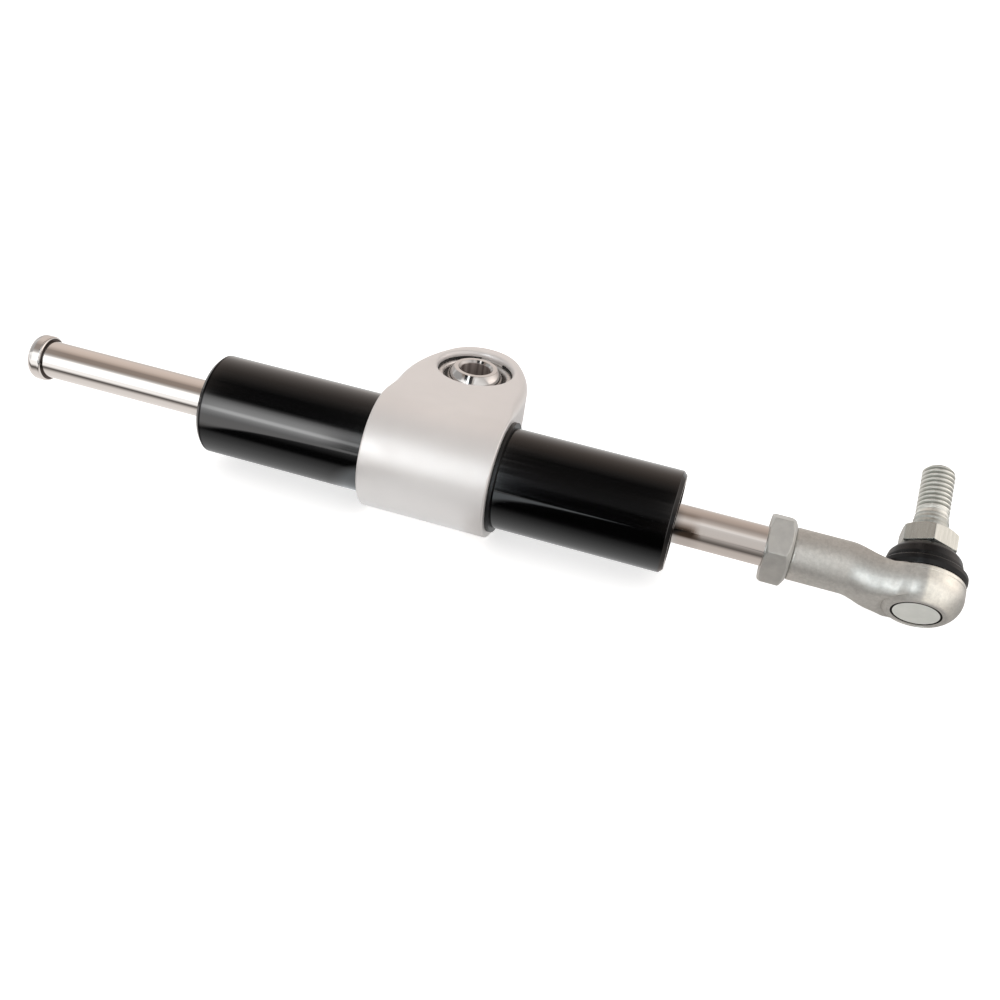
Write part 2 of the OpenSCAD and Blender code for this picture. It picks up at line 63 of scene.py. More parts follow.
# sizes are in millimetres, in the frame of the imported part
mm = 0.001
damper = {"axisY": -25.0, "axisZ": -10.5, "leftEnd": -62.15, "rightEnd": 61.65, "jointX": 121.25,
          "studLean": 58.0}
fullTurn = 2 * np.pi


# placing: radius, turn and height become points in the part's frame

def aroundTube(r, turn, h):
    # height runs along x on the tube's axis, turn 0 faces the viewer and a quarter turn faces up
    y = damper["axisY"] - r * np.cos(turn)
    z = damper["axisZ"] + r * np.sin(turn)
    return np.stack(np.broadcast_arrays(h, y, z), -1)


def fromJoint(x, y, h):
    # joint frame: x along the rod, h along the leaning stud, y square to both
    lean = np.radians(damper["studLean"])
    worldY = damper["axisY"] + y * np.cos(lean) + h * np.sin(lean)
    worldZ = damper["axisZ"] - y * np.sin(lean) + h * np.cos(lean)
    return np.stack(np.broadcast_arrays(damper["jointX"] + x, worldY, worldZ), -1)


def aroundStud(r, turn, h):
    # height runs along the stud from the ball's centre, turn 0 points along the rod
    return fromJoint(r * np.cos(turn), r * np.sin(turn), h)


def aroundBore(r, turn, h):
    # upright axis through the bearing's centre, which is the origin
    return np.stack(np.broadcast_arrays(r * np.cos(turn), r * np.sin(turn), h), -1)


# shapes

def roundedProfile(corners, closed, steps=7, guard=0.04):
    # every corner (r, h, radius) gives way to an arc that touches its two sides;
    # a guard point beside each arc keeps the flat sides flat when shaded smooth
    spots = [np.array(c[:2], float) for c in corners]
    made = []
    for i, corner in enumerate(corners):
        spot = spots[i]
        radius = corner[2] if len(corner) > 2 else 0
        atEnd = not closed and i in (0, len(corners) - 1)
        if radius <= 0 or atEnd:
            made.append(spot[None])
            continue
        toLast, toNext = spots[i - 1] - spot, spots[(i + 1) % len(spots)] - spot
        lastLength, nextLength = np.linalg.norm(toLast), np.linalg.norm(toNext)
        toLast, toNext = toLast / lastLength, toNext / nextLength
        half = 0.5 * np.arccos(np.clip(toLast @ toNext, -1, 1))
        cut = min(radius / np.tan(half), 0.45 * lastLength, 0.45 * nextLength)
        radius = cut * np.tan(half)
        middle = toLast + toNext
        centre = spot + middle / np.linalg.norm(middle) * radius / np.sin(half)
        sweep = np.pi - 2 * half
        t = np.linspace(0, 1, steps)[:, None]
        arm, tip = spot + toLast * cut - centre, spot + toNext * cut - centre
        arc = centre + (np.sin((1 - t) * sweep) * arm + np.sin(t * sweep) * tip) / np.sin(sweep)
        step = min(guard, 0.04 * lastLength, 0.04 * nextLength)
        made += [(arc[0] + toLast * step)[None], arc, (arc[-1] + toNext * step)[None]]
    return np.concatenate(made)


def gridFaces(rows, columns, rowsClose):
    # one quad between each two rows and two columns; columns always close round
    row = np.arange(rows if rowsClose else rows - 1)[:, None]
    column = np.arange(columns)[None, :]
    nextRow, nextColumn = (row + 1) % rows, (column + 1) % columns
    quads = [row * columns + column, row * columns + nextColumn,
             nextRow * columns + nextColumn, nextRow * columns + column]
    return np.stack(quads, -1).reshape(-1, 4)


def gridShell(radius, turn, height, place, rowsClose=False):
    # a surface given by its radius and height on a grid of rows by turns
    points = place(radius, turn[None, :], np.broadcast_to(height, radius.shape))
    return points.reshape(-1, 3), gridFaces(*radius.shape, rowsClose)


def lathe(corners, place, closed=True, columns=160, steps=7):
    # surface of revolution: a rounded profile of (r, h) turned through a full circle
    profile = roundedProfile(corners, closed, steps)
    turn = np.linspace(0, fullTurn, columns, endpoint=False)
    points = place(profile[:, :1], turn[None, :], profile[:, 1:])
    return points.reshape(-1, 3), gridFaces(len(profile), columns, closed)


def splitRing(corners, place, start, end, columns=120):
    # a closed profile carried round an arc, with flat caps on its two ends
    profile = roundedProfile(corners, True, 4)
    turn = np.linspace(start, end, columns)[:, None]
    points = place(profile[None, :, 0], turn, profile[None, :, 1])
    count = len(profile)
    quads = gridFaces(columns, count, False).tolist()
    caps = [list(range(count)), list(range(columns * count - 1, (columns - 1) * count - 1, -1))]
    return points.reshape(-1, 3), quads + caps


def arcRows(radius, start, end, count, r=0, h=0):
    # sharp profile corners on a circle round (r, h), from one angle to another
    return [(r + radius * np.cos(a), h + radius * np.sin(a), 0) for a in np.linspace(start, end, count)]


def volumeOf(points, faces):
    # sum over the quads of the boxes that their corners span with the origin; below zero means inside out
    quads = np.array([f for f in faces if len(f) == 4])
    a, b, c, d = (points[quads[:, k]] for k in range(4))
    return np.einsum("ij,ij->", a, np.cross(b, c)) + np.einsum("ij,ij->", a, np.cross(c, d))


def makePiece(name, shells, finish, body, hides):
    # joins the shells into one mesh, faces outwards, in place of the CAD nodes that it hides
    points, faces, count = [], [], 0
    for shellPoints, shellFaces in shells:
        faceList = shellFaces.tolist() if isinstance(shellFaces, np.ndarray) else shellFaces
        if volumeOf(shellPoints - shellPoints.mean(0), faceList) < 0:
            faceList = [f[::-1] for f in faceList]
        faces += [[k + count for k in f] for f in faceList]
        points.append(shellPoints)
        count += len(shellPoints)
    mesh = bpy.data.meshes.new(name)
    mesh.from_pydata((np.concatenate(points) * mm).tolist(), [], faces)
    work = bmesh.new()
    work.from_mesh(mesh)
    bmesh.ops.remove_doubles(work, verts=work.verts, dist=2e-7)  # closes the poles
    work.to_mesh(mesh)
    work.free()
    mesh.shade_smooth()
    mesh.materials.append(finish.material)
    piece = bpy.data.objects.new(name, mesh)
    bpy.context.scene.collection.objects.link(piece)
    if body:
        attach(piece, body)
    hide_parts(*hides)
    return piece


# finishes

class Finish:
    # a node material built up step by step round one Principled shader
    def __init__(self, name, color, metallic, roughness, specular=0.5):
        self.material = bpy.data.materials.new(name)
        self.material.use_nodes = True
        self.tree = self.material.node_tree
        self.shader = self.tree.nodes["Principled BSDF"]
        self.shader.inputs["Base Color"].default_value = (*color, 1)
        self.shader.inputs["Metallic"].default_value = metallic
        self.shader.inputs["Roughness"].default_value = roughness
        self.shader.inputs["Specular IOR Level"].default_value = specular
        self.normal = None

    def add(self, kind, **values):
        node = self.tree.nodes.new(kind)
        for key, value in values.items():
            setattr(node, key, value)
        return node

    def link(self, output, target):
        self.tree.links.new(output, target)

    def coordinates(self, scale, turn, centre):
        # Object coordinates in millimetres from a centre, turned and stretched by a Mapping node
        place = self.add("ShaderNodeTexCoord")
        mapping = self.add("ShaderNodeMapping", vector_type="TEXTURE")
        mapping.inputs["Location"].default_value = [mm * c for c in centre]
        mapping.inputs["Rotation"].default_value = turn
        mapping.inputs["Scale"].default_value = [mm * s for s in scale]
        self.link(place.outputs["Object"], mapping.inputs["Vector"])
        return mapping.outputs["Vector"]

    def noise(self, grain, detail=2.0, turn=(0, 0, 0), rough=0.5):
        # cloudy noise whose lumps are grain millimetres long, on each axis or on all
        node = self.add("ShaderNodeTexNoise")
        node.inputs["Scale"].default_value = 1.0
        node.inputs["Detail"].default_value = detail
        node.inputs["Roughness"].default_value = rough
        grains = grain if isinstance(grain, tuple) else (grain, grain, grain)
        self.link(self.coordinates(grains, turn, (0, 0, 0)), node.inputs["Vector"])
        return node.outputs["Fac"]

    def distance(self, scale, turn=(0, 0, 0), centre=(0, 0, 0)):
        # millimetres from the centre, with an axis left out where its scale is huge
        node = self.add("ShaderNodeVectorMath", operation="LENGTH")
        self.link(self.coordinates(scale, turn, centre), node.inputs[0])
        return node.outputs["Value"]

    def between(self, value, low, high, start=0.3, end=0.7):
        # goes from low to high while the value goes from start to end
        node = self.add("ShaderNodeMapRange")
        for key, number in (("From Min", start), ("From Max", end), ("To Min", low), ("To Max", high)):
            node.inputs[key].default_value = number
        self.link(value, node.inputs["Value"])
        return node.outputs["Result"]

    def mixed(self, value, low, high, start=0.3, end=0.7):
        # goes from one colour to the other in the same way; a colour may be the output of an earlier mix
        node = self.add("ShaderNodeMix", data_type="RGBA")
        colors = [s for s in node.inputs if s.type == "RGBA"]
        for socket, color in zip(colors, (low, high)):
            if isinstance(color, tuple):
                socket.default_value = (*color, 1)
            else:
                self.link(color, socket)
        self.link(self.between(value, 0, 1, start, end), node.inputs["Factor"])
        return [s for s in node.outputs if s.type == "RGBA"][0]

    def tint(self, value, low, high, start=0.3, end=0.7):
        # the mix becomes the base colour
        self.link(self.mixed(value, low, high, start, end), self.shader.inputs["Base Color"])

    def roughen(self, value, low, high, start=0.3, end=0.7):
        self.link(self.between(value, low, high, start, end), self.shader.inputs["Roughness"])

    def bump(self, value, height):
        # height in millimetres of the relief that the value gives, on top of an earlier relief
        node = self.add("ShaderNodeBump")
        node.inputs["Distance"].default_value = height * mm
        self.link(value, node.inputs["Height"])
        if self.normal:
            self.link(self.normal, node.inputs["Normal"])
        self.normal = node.outputs["Normal"]
        self.link(self.normal, self.shader.inputs["Normal"])


# scales for distances along x, along an axis and square to that axis
leftOut = 1e6
alongX, alongAxis, fromAxis = (1, leftOut, leftOut), (leftOut, leftOut, 1), (1, 1, leftOut)
studTurn = (-np.radians(damper["studLean"]), 0, 0)
studCentre = fromJoint(0, 0, 0)

blackAnodised = Finish("blackAnodised", (0.0007, 0.0007, 0.0008), 0.0, 0.08, 1.0)
blackAnodised.roughen(blackAnodised.noise((30, 0.6, 0.6), 3), 0.055, 0.1)
blackAnodised.tint(blackAnodised.noise((14, 3, 3), 3), (0.0004, 0.0004, 0.0005), (0.0009, 0.0009, 0.0011))
blackAnodised.bump(blackAnodised.noise((12, 0.5, 0.5), 2), 0.0004)
# the cut chamfers at both ends are duller than the drawn surface
chamferDull = blackAnodised.between(blackAnodised.distance(alongX), 1.0, 0.2, 60.6, 60.75)
blackAnodised.link(chamferDull, blackAnodised.shader.inputs["Specular IOR Level"])

satinAluminium = Finish("satinAluminium", (0.75, 0.7125, 0.69), 0.38, 0.36)
satinAluminium.roughen(satinAluminium.noise(5, 3), 0.33, 0.4)
satinAluminium.tint(satinAluminium.noise(9, 4), (0.74, 0.702, 0.68), (0.765, 0.727, 0.703))
satinAluminium.bump(satinAluminium.noise(0.22, 2), 0.0025)

hardChrome = Finish("hardChrome", (0.71, 0.69, 0.67), 1.0, 0.035)
hardChrome.roughen(hardChrome.noise((0.6, 9, 9), 4), 0.02, 0.05)
hardChrome.bump(hardChrome.noise((0.35, 6, 6), 2), 0.00025)

# the cap's face towards the rod is dark, the rest is chrome
capChrome = Finish("capChrome", (0.71, 0.69, 0.67), 1.0, 0.04)
capChrome.roughen(capChrome.noise((0.6, 9, 9), 4), 0.03, 0.06)
capChrome.tint(capChrome.distance(alongX), (0.06, 0.048, 0.044), (0.71, 0.69, 0.67), 112.004, 112.02)

nutZinc = Finish("nutZinc", (0.55, 0.55, 0.53), 0.75, 0.4)
nutZinc.roughen(nutZinc.noise(1.2, 4), 0.34, 0.48)
nutZinc.tint(nutZinc.noise(2.2, 4), (0.53, 0.53, 0.51), (0.62, 0.62, 0.59))
nutZinc.bump(nutZinc.noise(0.35, 3), 0.008)

# radii are from the stud's axis, the stretch of painted highlight is measured along the rod
headPaintedLight = {"gapShade": (0.03, 0.027, 0.024), "plugEdge": (5.36, 5.44), "gapEdge": (5.88, 5.96),
            "faceEdge": (6.9, 7.5), "highlightStart": (120.0, 121.0), "highlightEnd": (125.2, 130)}

# painted shade in the gap round the plug, and a painted highlight on the head's far side outside its flat
# face
housingZinc = Finish("housingZinc", (0.6, 0.595, 0.57), 0.8, 0.4)
housingZinc.roughen(housingZinc.noise(1.2, 4), 0.35, 0.45)
headX, headR = housingZinc.distance(alongX), housingZinc.distance(fromAxis, studTurn, studCentre)
castGrain = housingZinc.noise(0.9, 5, rough=0.7)
plainZinc = housingZinc.mixed(castGrain, (0.52, 0.515, 0.485), (0.68, 0.67, 0.635))
highlightZinc = housingZinc.mixed(castGrain, (0.78, 0.76, 0.69), (0.98, 0.95, 0.86))
# painted highlight on the head's far side, fading back to plain zinc along the rod
paintedHighlight = housingZinc.mixed(headX, highlightZinc, plainZinc, *headPaintedLight["highlightEnd"])
headSide = housingZinc.mixed(headX, plainZinc, paintedHighlight, *headPaintedLight["highlightStart"])
headColor = housingZinc.mixed(headR, plainZinc, headSide, *headPaintedLight["faceEdge"])
# painted shade: the housing is near black inside the edge of the gap round the plug
housingZinc.tint(headR, headPaintedLight["gapShade"], headColor, *headPaintedLight["gapEdge"])
housingZinc.bump(housingZinc.noise(3, 2), 0.02)
housingZinc.bump(housingZinc.noise(0.5, 3, rough=0.6), 0.02)

plugZinc = Finish("plugZinc", (0.70, 0.715, 0.68), 0.5, 0.4)
plugZinc.roughen(plugZinc.noise(1.0, 4), 0.35, 0.5)
plugColor = plugZinc.mixed(plugZinc.noise(3, 4), (0.80, 0.82, 0.775), (0.87, 0.885, 0.84))
plugR = plugZinc.distance(fromAxis, studTurn, studCentre)
# painted shade: the plug's rim is near black where it meets the gap
plugZinc.tint(plugR, plugColor, headPaintedLight["gapShade"], *headPaintedLight["plugEdge"])
plugZinc.bump(plugZinc.noise(0.3, 3), 0.003)

# the rolled thread is rougher than the hexagon, with painted shade in its grooves and a painted highlight
# on its crests; the tip's face has neither
studZinc = Finish("studZinc", (0.60, 0.615, 0.58), 0.9, 0.24)
studR = studZinc.distance(fromAxis, studTurn, studCentre)
studHeight = studZinc.distance(alongAxis, studTurn, studCentre)
studZinc.roughen(studR, 0.4, 0.24, 4.4, 5.6)
drawnGrain = studZinc.noise((0.5, 0.5, 5), 3, studTurn)
studStreaks = studZinc.mixed(drawnGrain, (0.46, 0.475, 0.445), (0.54, 0.555, 0.52))
# painted shade at the thread's root, painted highlight at its crests
threadShadeAndHighlight = studZinc.mixed(studR, (0.36, 0.367, 0.34), (0.8, 0.815, 0.77), 3.38, 3.85)
studColor = studZinc.mixed(studR, threadShadeAndHighlight, studStreaks, 3.99, 4.04)
studZinc.tint(studHeight, studColor, studStreaks, 32.5, 32.7)
studZinc.bump(studZinc.noise((0.3, 0.3, 4), 2, studTurn), 0.0006)

# the ball's bore is less metallic and painted dark as shade inside it, streaked along its length
bearingSteel = Finish("bearingSteel", (0.58, 0.575, 0.57), 1.0, 0.1)
bearingSteel.roughen(bearingSteel.noise(0.8, 4), 0.06, 0.12)
bearingSteel.bump(bearingSteel.noise(0.5, 2), 0.0008)
streakNoise = bearingSteel.noise((1.3, 1.3, 40), 3)
boreShadeStreaks = bearingSteel.mixed(streakNoise, (0.12, 0.092, 0.082), (0.42, 0.36, 0.33), 0.35, 0.7)
boreR = bearingSteel.distance(fromAxis)
# painted shade: the bore's wall takes the dark streaked colour
bearingSteel.tint(boreR, boreShadeStreaks, (0.58, 0.57, 0.56), 4.05, 4.2)
bearingSteel.link(bearingSteel.between(boreR, 0.2, 1, 4.05, 4.2), bearingSteel.shader.inputs["Metallic"])

ringSteel = Finish("ringSteel", (0.66, 0.65, 0.64), 1.0, 0.28)
ringSteel.roughen(ringSteel.noise(0.8, 4), 0.24, 0.34)
ringSteel.bump(ringSteel.noise(0.3, 3), 0.004)

darkSteel = Finish("darkSteel", (0.004, 0.0038, 0.0036), 0.0, 0.34, 0.4)
darkSteel.roughen(darkSteel.noise(0.8, 4), 0.28, 0.44)
darkSteel.bump(darkSteel.noise(0.3, 3), 0.004)

bootRubber = Finish("bootRubber", (0.003, 0.003, 0.0033), 0.0, 0.3, 0.3)
bootRubber.roughen(bootRubber.noise(1.5, 4), 0.25, 0.36)
bootRubber.tint(bootRubber.noise(2, 3), (0.0022, 0.0022, 0.0025), (0.0045, 0.0045, 0.005))
bootRubber.bump(bootRubber.noise(0.18, 2), 0.004)

sealRubber = Finish("sealRubber", (0.016, 0.016, 0.016), 0.0, 0.45)
sealRubber.roughen(sealRubber.noise(1, 3), 0.4, 0.52)

turnedAluminium = Finish("turnedAluminium", (0.66, 0.66, 0.67), 1.0, 0.28)
turnedAluminium.roughen(turnedAluminium.noise((0.15, 3, 3), 3), 0.22, 0.36)

turnedBronze = Finish("turnedBronze", (0.60, 0.42, 0.20), 1.0, 0.3)
turnedBronze.roughen(turnedBronze.noise((0.2, 2, 2), 3), 0.25, 0.4)

bearingLining = Finish("bearingLining", (0.014, 0.011, 0.01), 0.0, 0.4, 0.3)
bearingLining.roughen(bearingLining.noise(0.4, 3), 0.35, 0.5)
bearingLining.tint(bearingLining.noise(0.3, 3), (0.01, 0.008, 0.007), (0.02, 0.016, 0.0135))

slidingPlastic = Finish("slidingPlastic", (0.30, 0.29, 0.25), 0.0, 0.5)
slidingPlastic.roughen(slidingPlastic.noise(0.6, 3), 0.45, 0.6)
print("finishes made")

# CAD nodes that stay: they lie inside, or show only a plain turned face
keptFinish = {
    "gland": turnedAluminium, "guide_bush": turnedBronze, "rod_seal": sealRubber, "wiper": sealRubber,
    "gland_oring": sealRubber, "gland_circlip": darkSteel, "sleeve_ring": darkSteel, "piston": turnedBronze,
    "piston_band": slidingPlastic, "band_energizer": sealRubber, "piston_keeper": darkSteel,
    "bearing_liner": bearingLining, "ball_seat": slidingPlastic, "boot_lower_ring": ringSteel,
    "boot_upper_ring": ringSteel}
for nodeName, node in cadNodes.items():
    stem = nodeName.rsplit("_", 1)[0] if nodeName.endswith(("_left", "_right")) else nodeName
    if stem in keptFinish:
        node.data.materials.clear()
        node.data.materials.append(keptFinish[stem].material)

# damper tube: chamfered ends, an open bore and a shallow groove for each of the sleeve's rings
tube = {"outer": 13.0, "bore": 10.0, "boreStep": 3.0, "boreEdge": 0.25, "chamfer": 1.0, "edge": 0.18,
        "grooveR": 12.3, "grooveW": 1.0, "grooveEdge": 0.05, "sleeveHalf": 16.65}


def tubeShell():
    # each end runs up the bore's mouth, over the chamfer and along to its groove; the right end runs back
    half, outer, grooveR = tube["sleeveHalf"], tube["outer"], tube["grooveR"]
    ends = []
    for sign, end in ((-1, -damper["leftEnd"]), (1, damper["rightEnd"])):
        mouth = [(tube["bore"], sign * (end - tube["boreStep"]), 0),
                 (tube["bore"], sign * end, tube["boreEdge"]),
                 (outer - tube["chamfer"], sign * end, tube["edge"]),
                 (outer, sign * (end - tube["chamfer"]), tube["edge"])]
        far, near = (half, half - tube["grooveW"]) if sign < 0 else (half + tube["grooveW"], half)
        groove = [(outer, sign * far, tube["grooveEdge"]), (grooveR, sign * far, 0),
                  (grooveR, sign * near, 0), (outer, sign * near, tube["grooveEdge"])]
        ends.append(mouth + groove)
    return lathe(ends[0] + ends[1][::-1], aroundTube, columns=192)


makePiece("damperTube", [tubeShell()], blackAnodised, "damper_body", ["damper_tube"])

# rod and stop cap, both turned round the tube's axis
rod = {"r": 5.0, "capX": -112.0, "spigotR": 3.0, "spigotEnd": -114.55, "end": 106.15}
rodCorners = [(0, rod["spigotEnd"]), (rod["spigotR"], rod["spigotEnd"], 0.2),
              (rod["spigotR"], rod["capX"], 0), (rod["r"], rod["capX"], 0.05), (rod["r"], rod["end"], 0.5),
              (0, rod["end"])]
makePiece("pistonRod", [lathe(rodCorners, aroundTube, closed=False, columns=128)], hardChrome, "rod_set",
          ["piston_rod"])

cap = {"r": 6.15, "end": -116.2, "round": 2.4, "edge": 0.6, "face": -112.0, "socketR": 3.02,
       "socket": -114.6}
capCorners = [(0, cap["end"]), (cap["r"], cap["end"], cap["round"]), (cap["r"], cap["face"], cap["edge"]),
              (cap["socketR"], cap["face"], 0), (cap["socketR"], cap["socket"], 0), (0, cap["socket"])]
makePiece("stopCap", [lathe(capCorners, aroundTube, closed=False, columns=128)], capChrome, "rod_set",
          ["stop_cap"])
print("tube, rod and cap made")

# mounting sleeve: a ring round the tube and a lug that grows from its top
sleeve = {"r": 16.0, "half": 16.65, "bore": 13.02, "edge": 0.5, "boreChamfer": 0.6, "pocketR": 14.6,
          "pocketDeep": 1.0, "lugTop": 5.5, "lugLow": -5.5, "lugEdge": 2.1, "ringEdge": 0.45,
          "edgeGrowth": 9.0, "rootY": -12.5, "sideW": 16.62, "tipY": 3.05, "tipR": 11.95, "frontY": -29.0,
          "fillet": 3.0, "insideR": 14.5}
seat = {"r": 10.01, "shoulder": 8.91, "shelf": 3.5, "groove": 10.56, "grooveTop": 4.02, "round": 0.95,
        "fall": 1.4}


def sleeveRing():
    # a plain ring with a pocket in its left end and a chamfered bore at its right end
    half, bore, pocketR = sleeve["half"], sleeve["bore"], sleeve["pocketR"]
    pocketX = sleeve["pocketDeep"] - half
    corners = [(pocketR, -half, 0.25), (sleeve["r"], -half, sleeve["edge"]),
               (sleeve["r"], half, sleeve["edge"]), (bore + sleeve["boreChamfer"], half, 0.1),
               (bore, half - sleeve["boreChamfer"], 0.1), (bore, pocketX, 0), (pocketR, pocketX, 0.1)]
    return lathe(corners, aroundTube, columns=256)


def lugReach(turn):
    # distance from the bearing's axis to the lug's outline in each direction, halved in steps:
    # inside is the round tip, the two side arcs, or the strip over the tube
    rise = sleeve["tipY"] - sleeve["rootY"]
    spread = 2 * (sleeve["sideW"] - sleeve["tipR"])
    sideR = (sleeve["sideW"] ** 2 + rise ** 2 - sleeve["tipR"] ** 2) / spread
    touchY = sleeve["tipY"] + sleeve["tipR"] * rise / (sideR - sleeve["tipR"])
    low, high = np.zeros_like(turn), np.full_like(turn, 45.0)
    for _ in range(44):
        reach = (low + high) / 2
        x, y = reach * np.cos(turn), reach * np.sin(turn)
        inTip = x ** 2 + (y - sleeve["tipY"]) ** 2 < sleeve["tipR"] ** 2
        inArcs = (np.abs(x) + sideR - sleeve["sideW"]) ** 2 + (y - sleeve["rootY"]) ** 2 < sideR ** 2
        inArcs &= (y > sleeve["rootY"]) & (y < touchY)
        inStrip = (np.abs(x) < sleeve["sideW"]) & (y <= sleeve["rootY"]) & (y > sleeve["frontY"])
        inside = inTip | inArcs | inStrip
        low, high = np.where(inside, reach, low), np.where(inside, high, reach)
    return low


def lugHeights(y):
    # top: level, and just under the ring in front of its crest;
    # underside: level, a hollow corner, then inside the ring
    back = y - damper["axisY"]
    top = np.where(back >= 0, sleeve["lugTop"],
                   damper["axisZ"] - 0.03 + np.sqrt(np.maximum(sleeve["r"] ** 2 - back ** 2, 0)))
    cornerZ = sleeve["lugLow"] - damper["axisZ"] - sleeve["fillet"]
    cornerY = np.sqrt((sleeve["r"] + sleeve["fillet"]) ** 2 - cornerZ ** 2)
    hollow = cornerZ + np.sqrt(np.maximum(sleeve["fillet"] ** 2 - (back - cornerY) ** 2, 0))
    inRing = np.sqrt(np.maximum(sleeve["insideR"] ** 2 - back ** 2, cornerZ ** 2))
    low = np.where(back >= cornerY, sleeve["lugLow"] - damper["axisZ"],
                   np.where(back >= cornerY - sleeve["fillet"], hollow, inRing))
    return top, low + damper["axisZ"]


def lugShell(columns=720):
    # rows run up the bearing's seat, out over the top, round the edge, down the side and back underneath;
    # the edge rows keep a set distance square to the outline
    turn = np.linspace(0, fullTurn, columns, endpoint=False)
    reach = lugReach(turn)
    slope = (np.roll(reach, -1) - np.roll(reach, 1)) / (2 * (turn[1] - turn[0]))
    square = np.clip(reach / np.sqrt(reach ** 2 + slope ** 2), 0.3, 1)
    grow = np.clip((reach * np.sin(turn) - damper["axisY"]) / sleeve["edgeGrowth"], 0, 1)
    inner = seat["r"] + seat["round"] + 0.08
    edge = sleeve["ringEdge"] + (sleeve["lugEdge"] - sleeve["ringEdge"]) * grow ** 2 * (3 - 2 * grow)
    edge = np.minimum(edge, 0.85 * (reach - inner) * square)
    seatRows = [(seat["shoulder"], sleeve["lugLow"]), (seat["shoulder"], -seat["shelf"]),
                (seat["r"], -seat["shelf"]), (seat["r"], seat["shelf"]), (seat["groove"], seat["shelf"]),
                (seat["groove"], seat["grooveTop"]), (seat["r"], seat["grooveTop"]),
                (seat["r"], sleeve["lugTop"] - seat["fall"] - 0.04)]
    for a in np.radians(np.linspace(0, 90, 9)):
        seatRows.append((seat["r"] + seat["round"] * (1 - np.cos(a)),
                         sleeve["lugTop"] - seat["fall"] * (1 - np.sin(a))))
    seatRows.append((inner, sleeve["lugTop"]))
    radius = [np.full(columns, r) for r, z in seatRows]
    height = [np.full(columns, z) for r, z in seatRows]
    for share in (0.15, 0.3, 0.45, 0.6, 0.75, 0.9):
        r = inner + share * (reach - 1.1 * edge / square - inner)
        radius.append(r)
        height.append(lugHeights(r * np.sin(turn))[0])
    for bend in np.radians(np.linspace(-4, 90, 12)):
        r = reach - edge / square * (1 - np.sin(bend))
        radius.append(r)
        height.append(lugHeights(r * np.sin(turn))[0] - edge * (1 - np.cos(np.maximum(bend, 0))))
    for bend in np.radians(np.linspace(90, 0, 8)):
        r = reach - 0.8 * edge / square * (1 - np.sin(bend))
        radius.append(r)
        height.append(lugHeights(r * np.sin(turn))[1] + 0.8 * edge * (1 - np.cos(bend)))
    for share in (0.92, 0.84, 0.76, 0.68, 0.6, 0.5, 0.4, 0.3, 0.2, 0.1, 0.02):
        r = seat["shoulder"] + share * (reach - 0.9 * edge / square - seat["shoulder"])
        radius.append(r)
        height.append(lugHeights(r * np.sin(turn))[1])
    return gridShell(np.array(radius), turn, np.array(height), aroundBore, rowsClose=True)


makePiece("mountSleeve", [sleeveRing(), lugShell()], satinAluminium, "damper_body",
          ["mount_sleeve"])

# spherical bearing and its snap ring
bearing = {"ballR": 8.0, "ballHalf": 5.5, "bore": 4.0, "boreChamfer": 0.7, "raceR": 10.0, "raceHalf": 3.5,
           "raceIn": 8.56, "raceFace": 8.75, "bevel": 0.66, "snapIn": 9.66, "snapOut": 10.54,
           "snapLow": 3.51, "snapTop": 3.96, "snapEdge": 0.08, "gapTurn": 77.0, "gapHalf": 20.0}


def ballShell():
    # a ball cut flat above and below, with a chamfered bore
    half, bore, chamfer = bearing["ballHalf"], bearing["bore"], bearing["boreChamfer"]
    flatR = np.sqrt(bearing["ballR"] ** 2 - half ** 2)
    lean = np.arctan2(half, flatR)
    corners = [(bore + chamfer, -half, 0.08), (flatR, -half, 0.16),
               *arcRows(bearing["ballR"], -lean, lean, 41)[1:-1],
               (flatR, half, 0.16), (bore + chamfer, half, 0.08),
               (bore, half - chamfer, 0.08), (bore, chamfer - half, 0.08)]
    return lathe(corners, aroundBore, columns=160, steps=5)


def raceShell():
    # a ring whose inside is a hollow ball, bevelled at both faces
    half, face = bearing["raceHalf"], bearing["raceFace"]
    lean = np.arcsin((half - bearing["bevel"]) / bearing["raceIn"])
    corners = [(face, -half, 0.06), (bearing["raceR"], -half, 0.3), (bearing["raceR"], half, 0.3),
               (face, half, 0.06), *arcRows(bearing["raceIn"], lean, -lean, 31)]
    return lathe(corners, aroundBore, columns=160, steps=5)


def snapShell():
    # a flat split ring with its gap at the back
    gap, half = np.radians(bearing["gapTurn"]), np.radians(bearing["gapHalf"])
    low, top, edge = bearing["snapLow"], bearing["snapTop"], bearing["snapEdge"]
    corners = [(bearing["snapIn"], low, edge), (bearing["snapOut"], low, edge),
               (bearing["snapOut"], top, edge), (bearing["snapIn"], top, 1.5 * edge)]
    return splitRing(corners, aroundBore, gap + half, gap + fullTurn - half, 180)


makePiece("bearingBall", [ballShell()], bearingSteel, "ball", ["bearing_ball"])
makePiece("bearingRace", [raceShell()], ringSteel, "damper_body", ["bearing_race"])
makePiece("bearingSnapRing", [snapShell()], darkSteel, "damper_body", ["bearing_snap_ring"])
print("sleeve and bearing made")


# hexagons: the softened least of six flats and the end cones

def hexRadius(turn, acrossFlats, cornerTurn, soft=140):
    # least of six flats, softened: minus one over soft power of the sum of the six cosines to that power
    flats = np.radians(cornerTurn + 30 + 60 * np.arange(6))[:, None]
    reach = np.maximum(np.cos(turn[None, :] - flats), 1e-3) ** soft
    return acrossFlats / 2 * reach.sum(0) ** (-1 / soft)


def softLeast(a, b, soft=110):
    # the lesser of two radii, softened in the same way
    return (a ** -soft + b ** -soft) ** (-1 / soft)


def hexTurns(cornerTurn, perFlat=64):
    # turns that crowd together at the six corners
    share = np.sin(np.linspace(-np.pi / 2, np.pi / 2, perFlat, endpoint=False))
    flats = np.radians(cornerTurn + 30 + 60 * np.arange(6))
    return (flats[:, None] + np.radians(30) * share[None, :]).ravel()


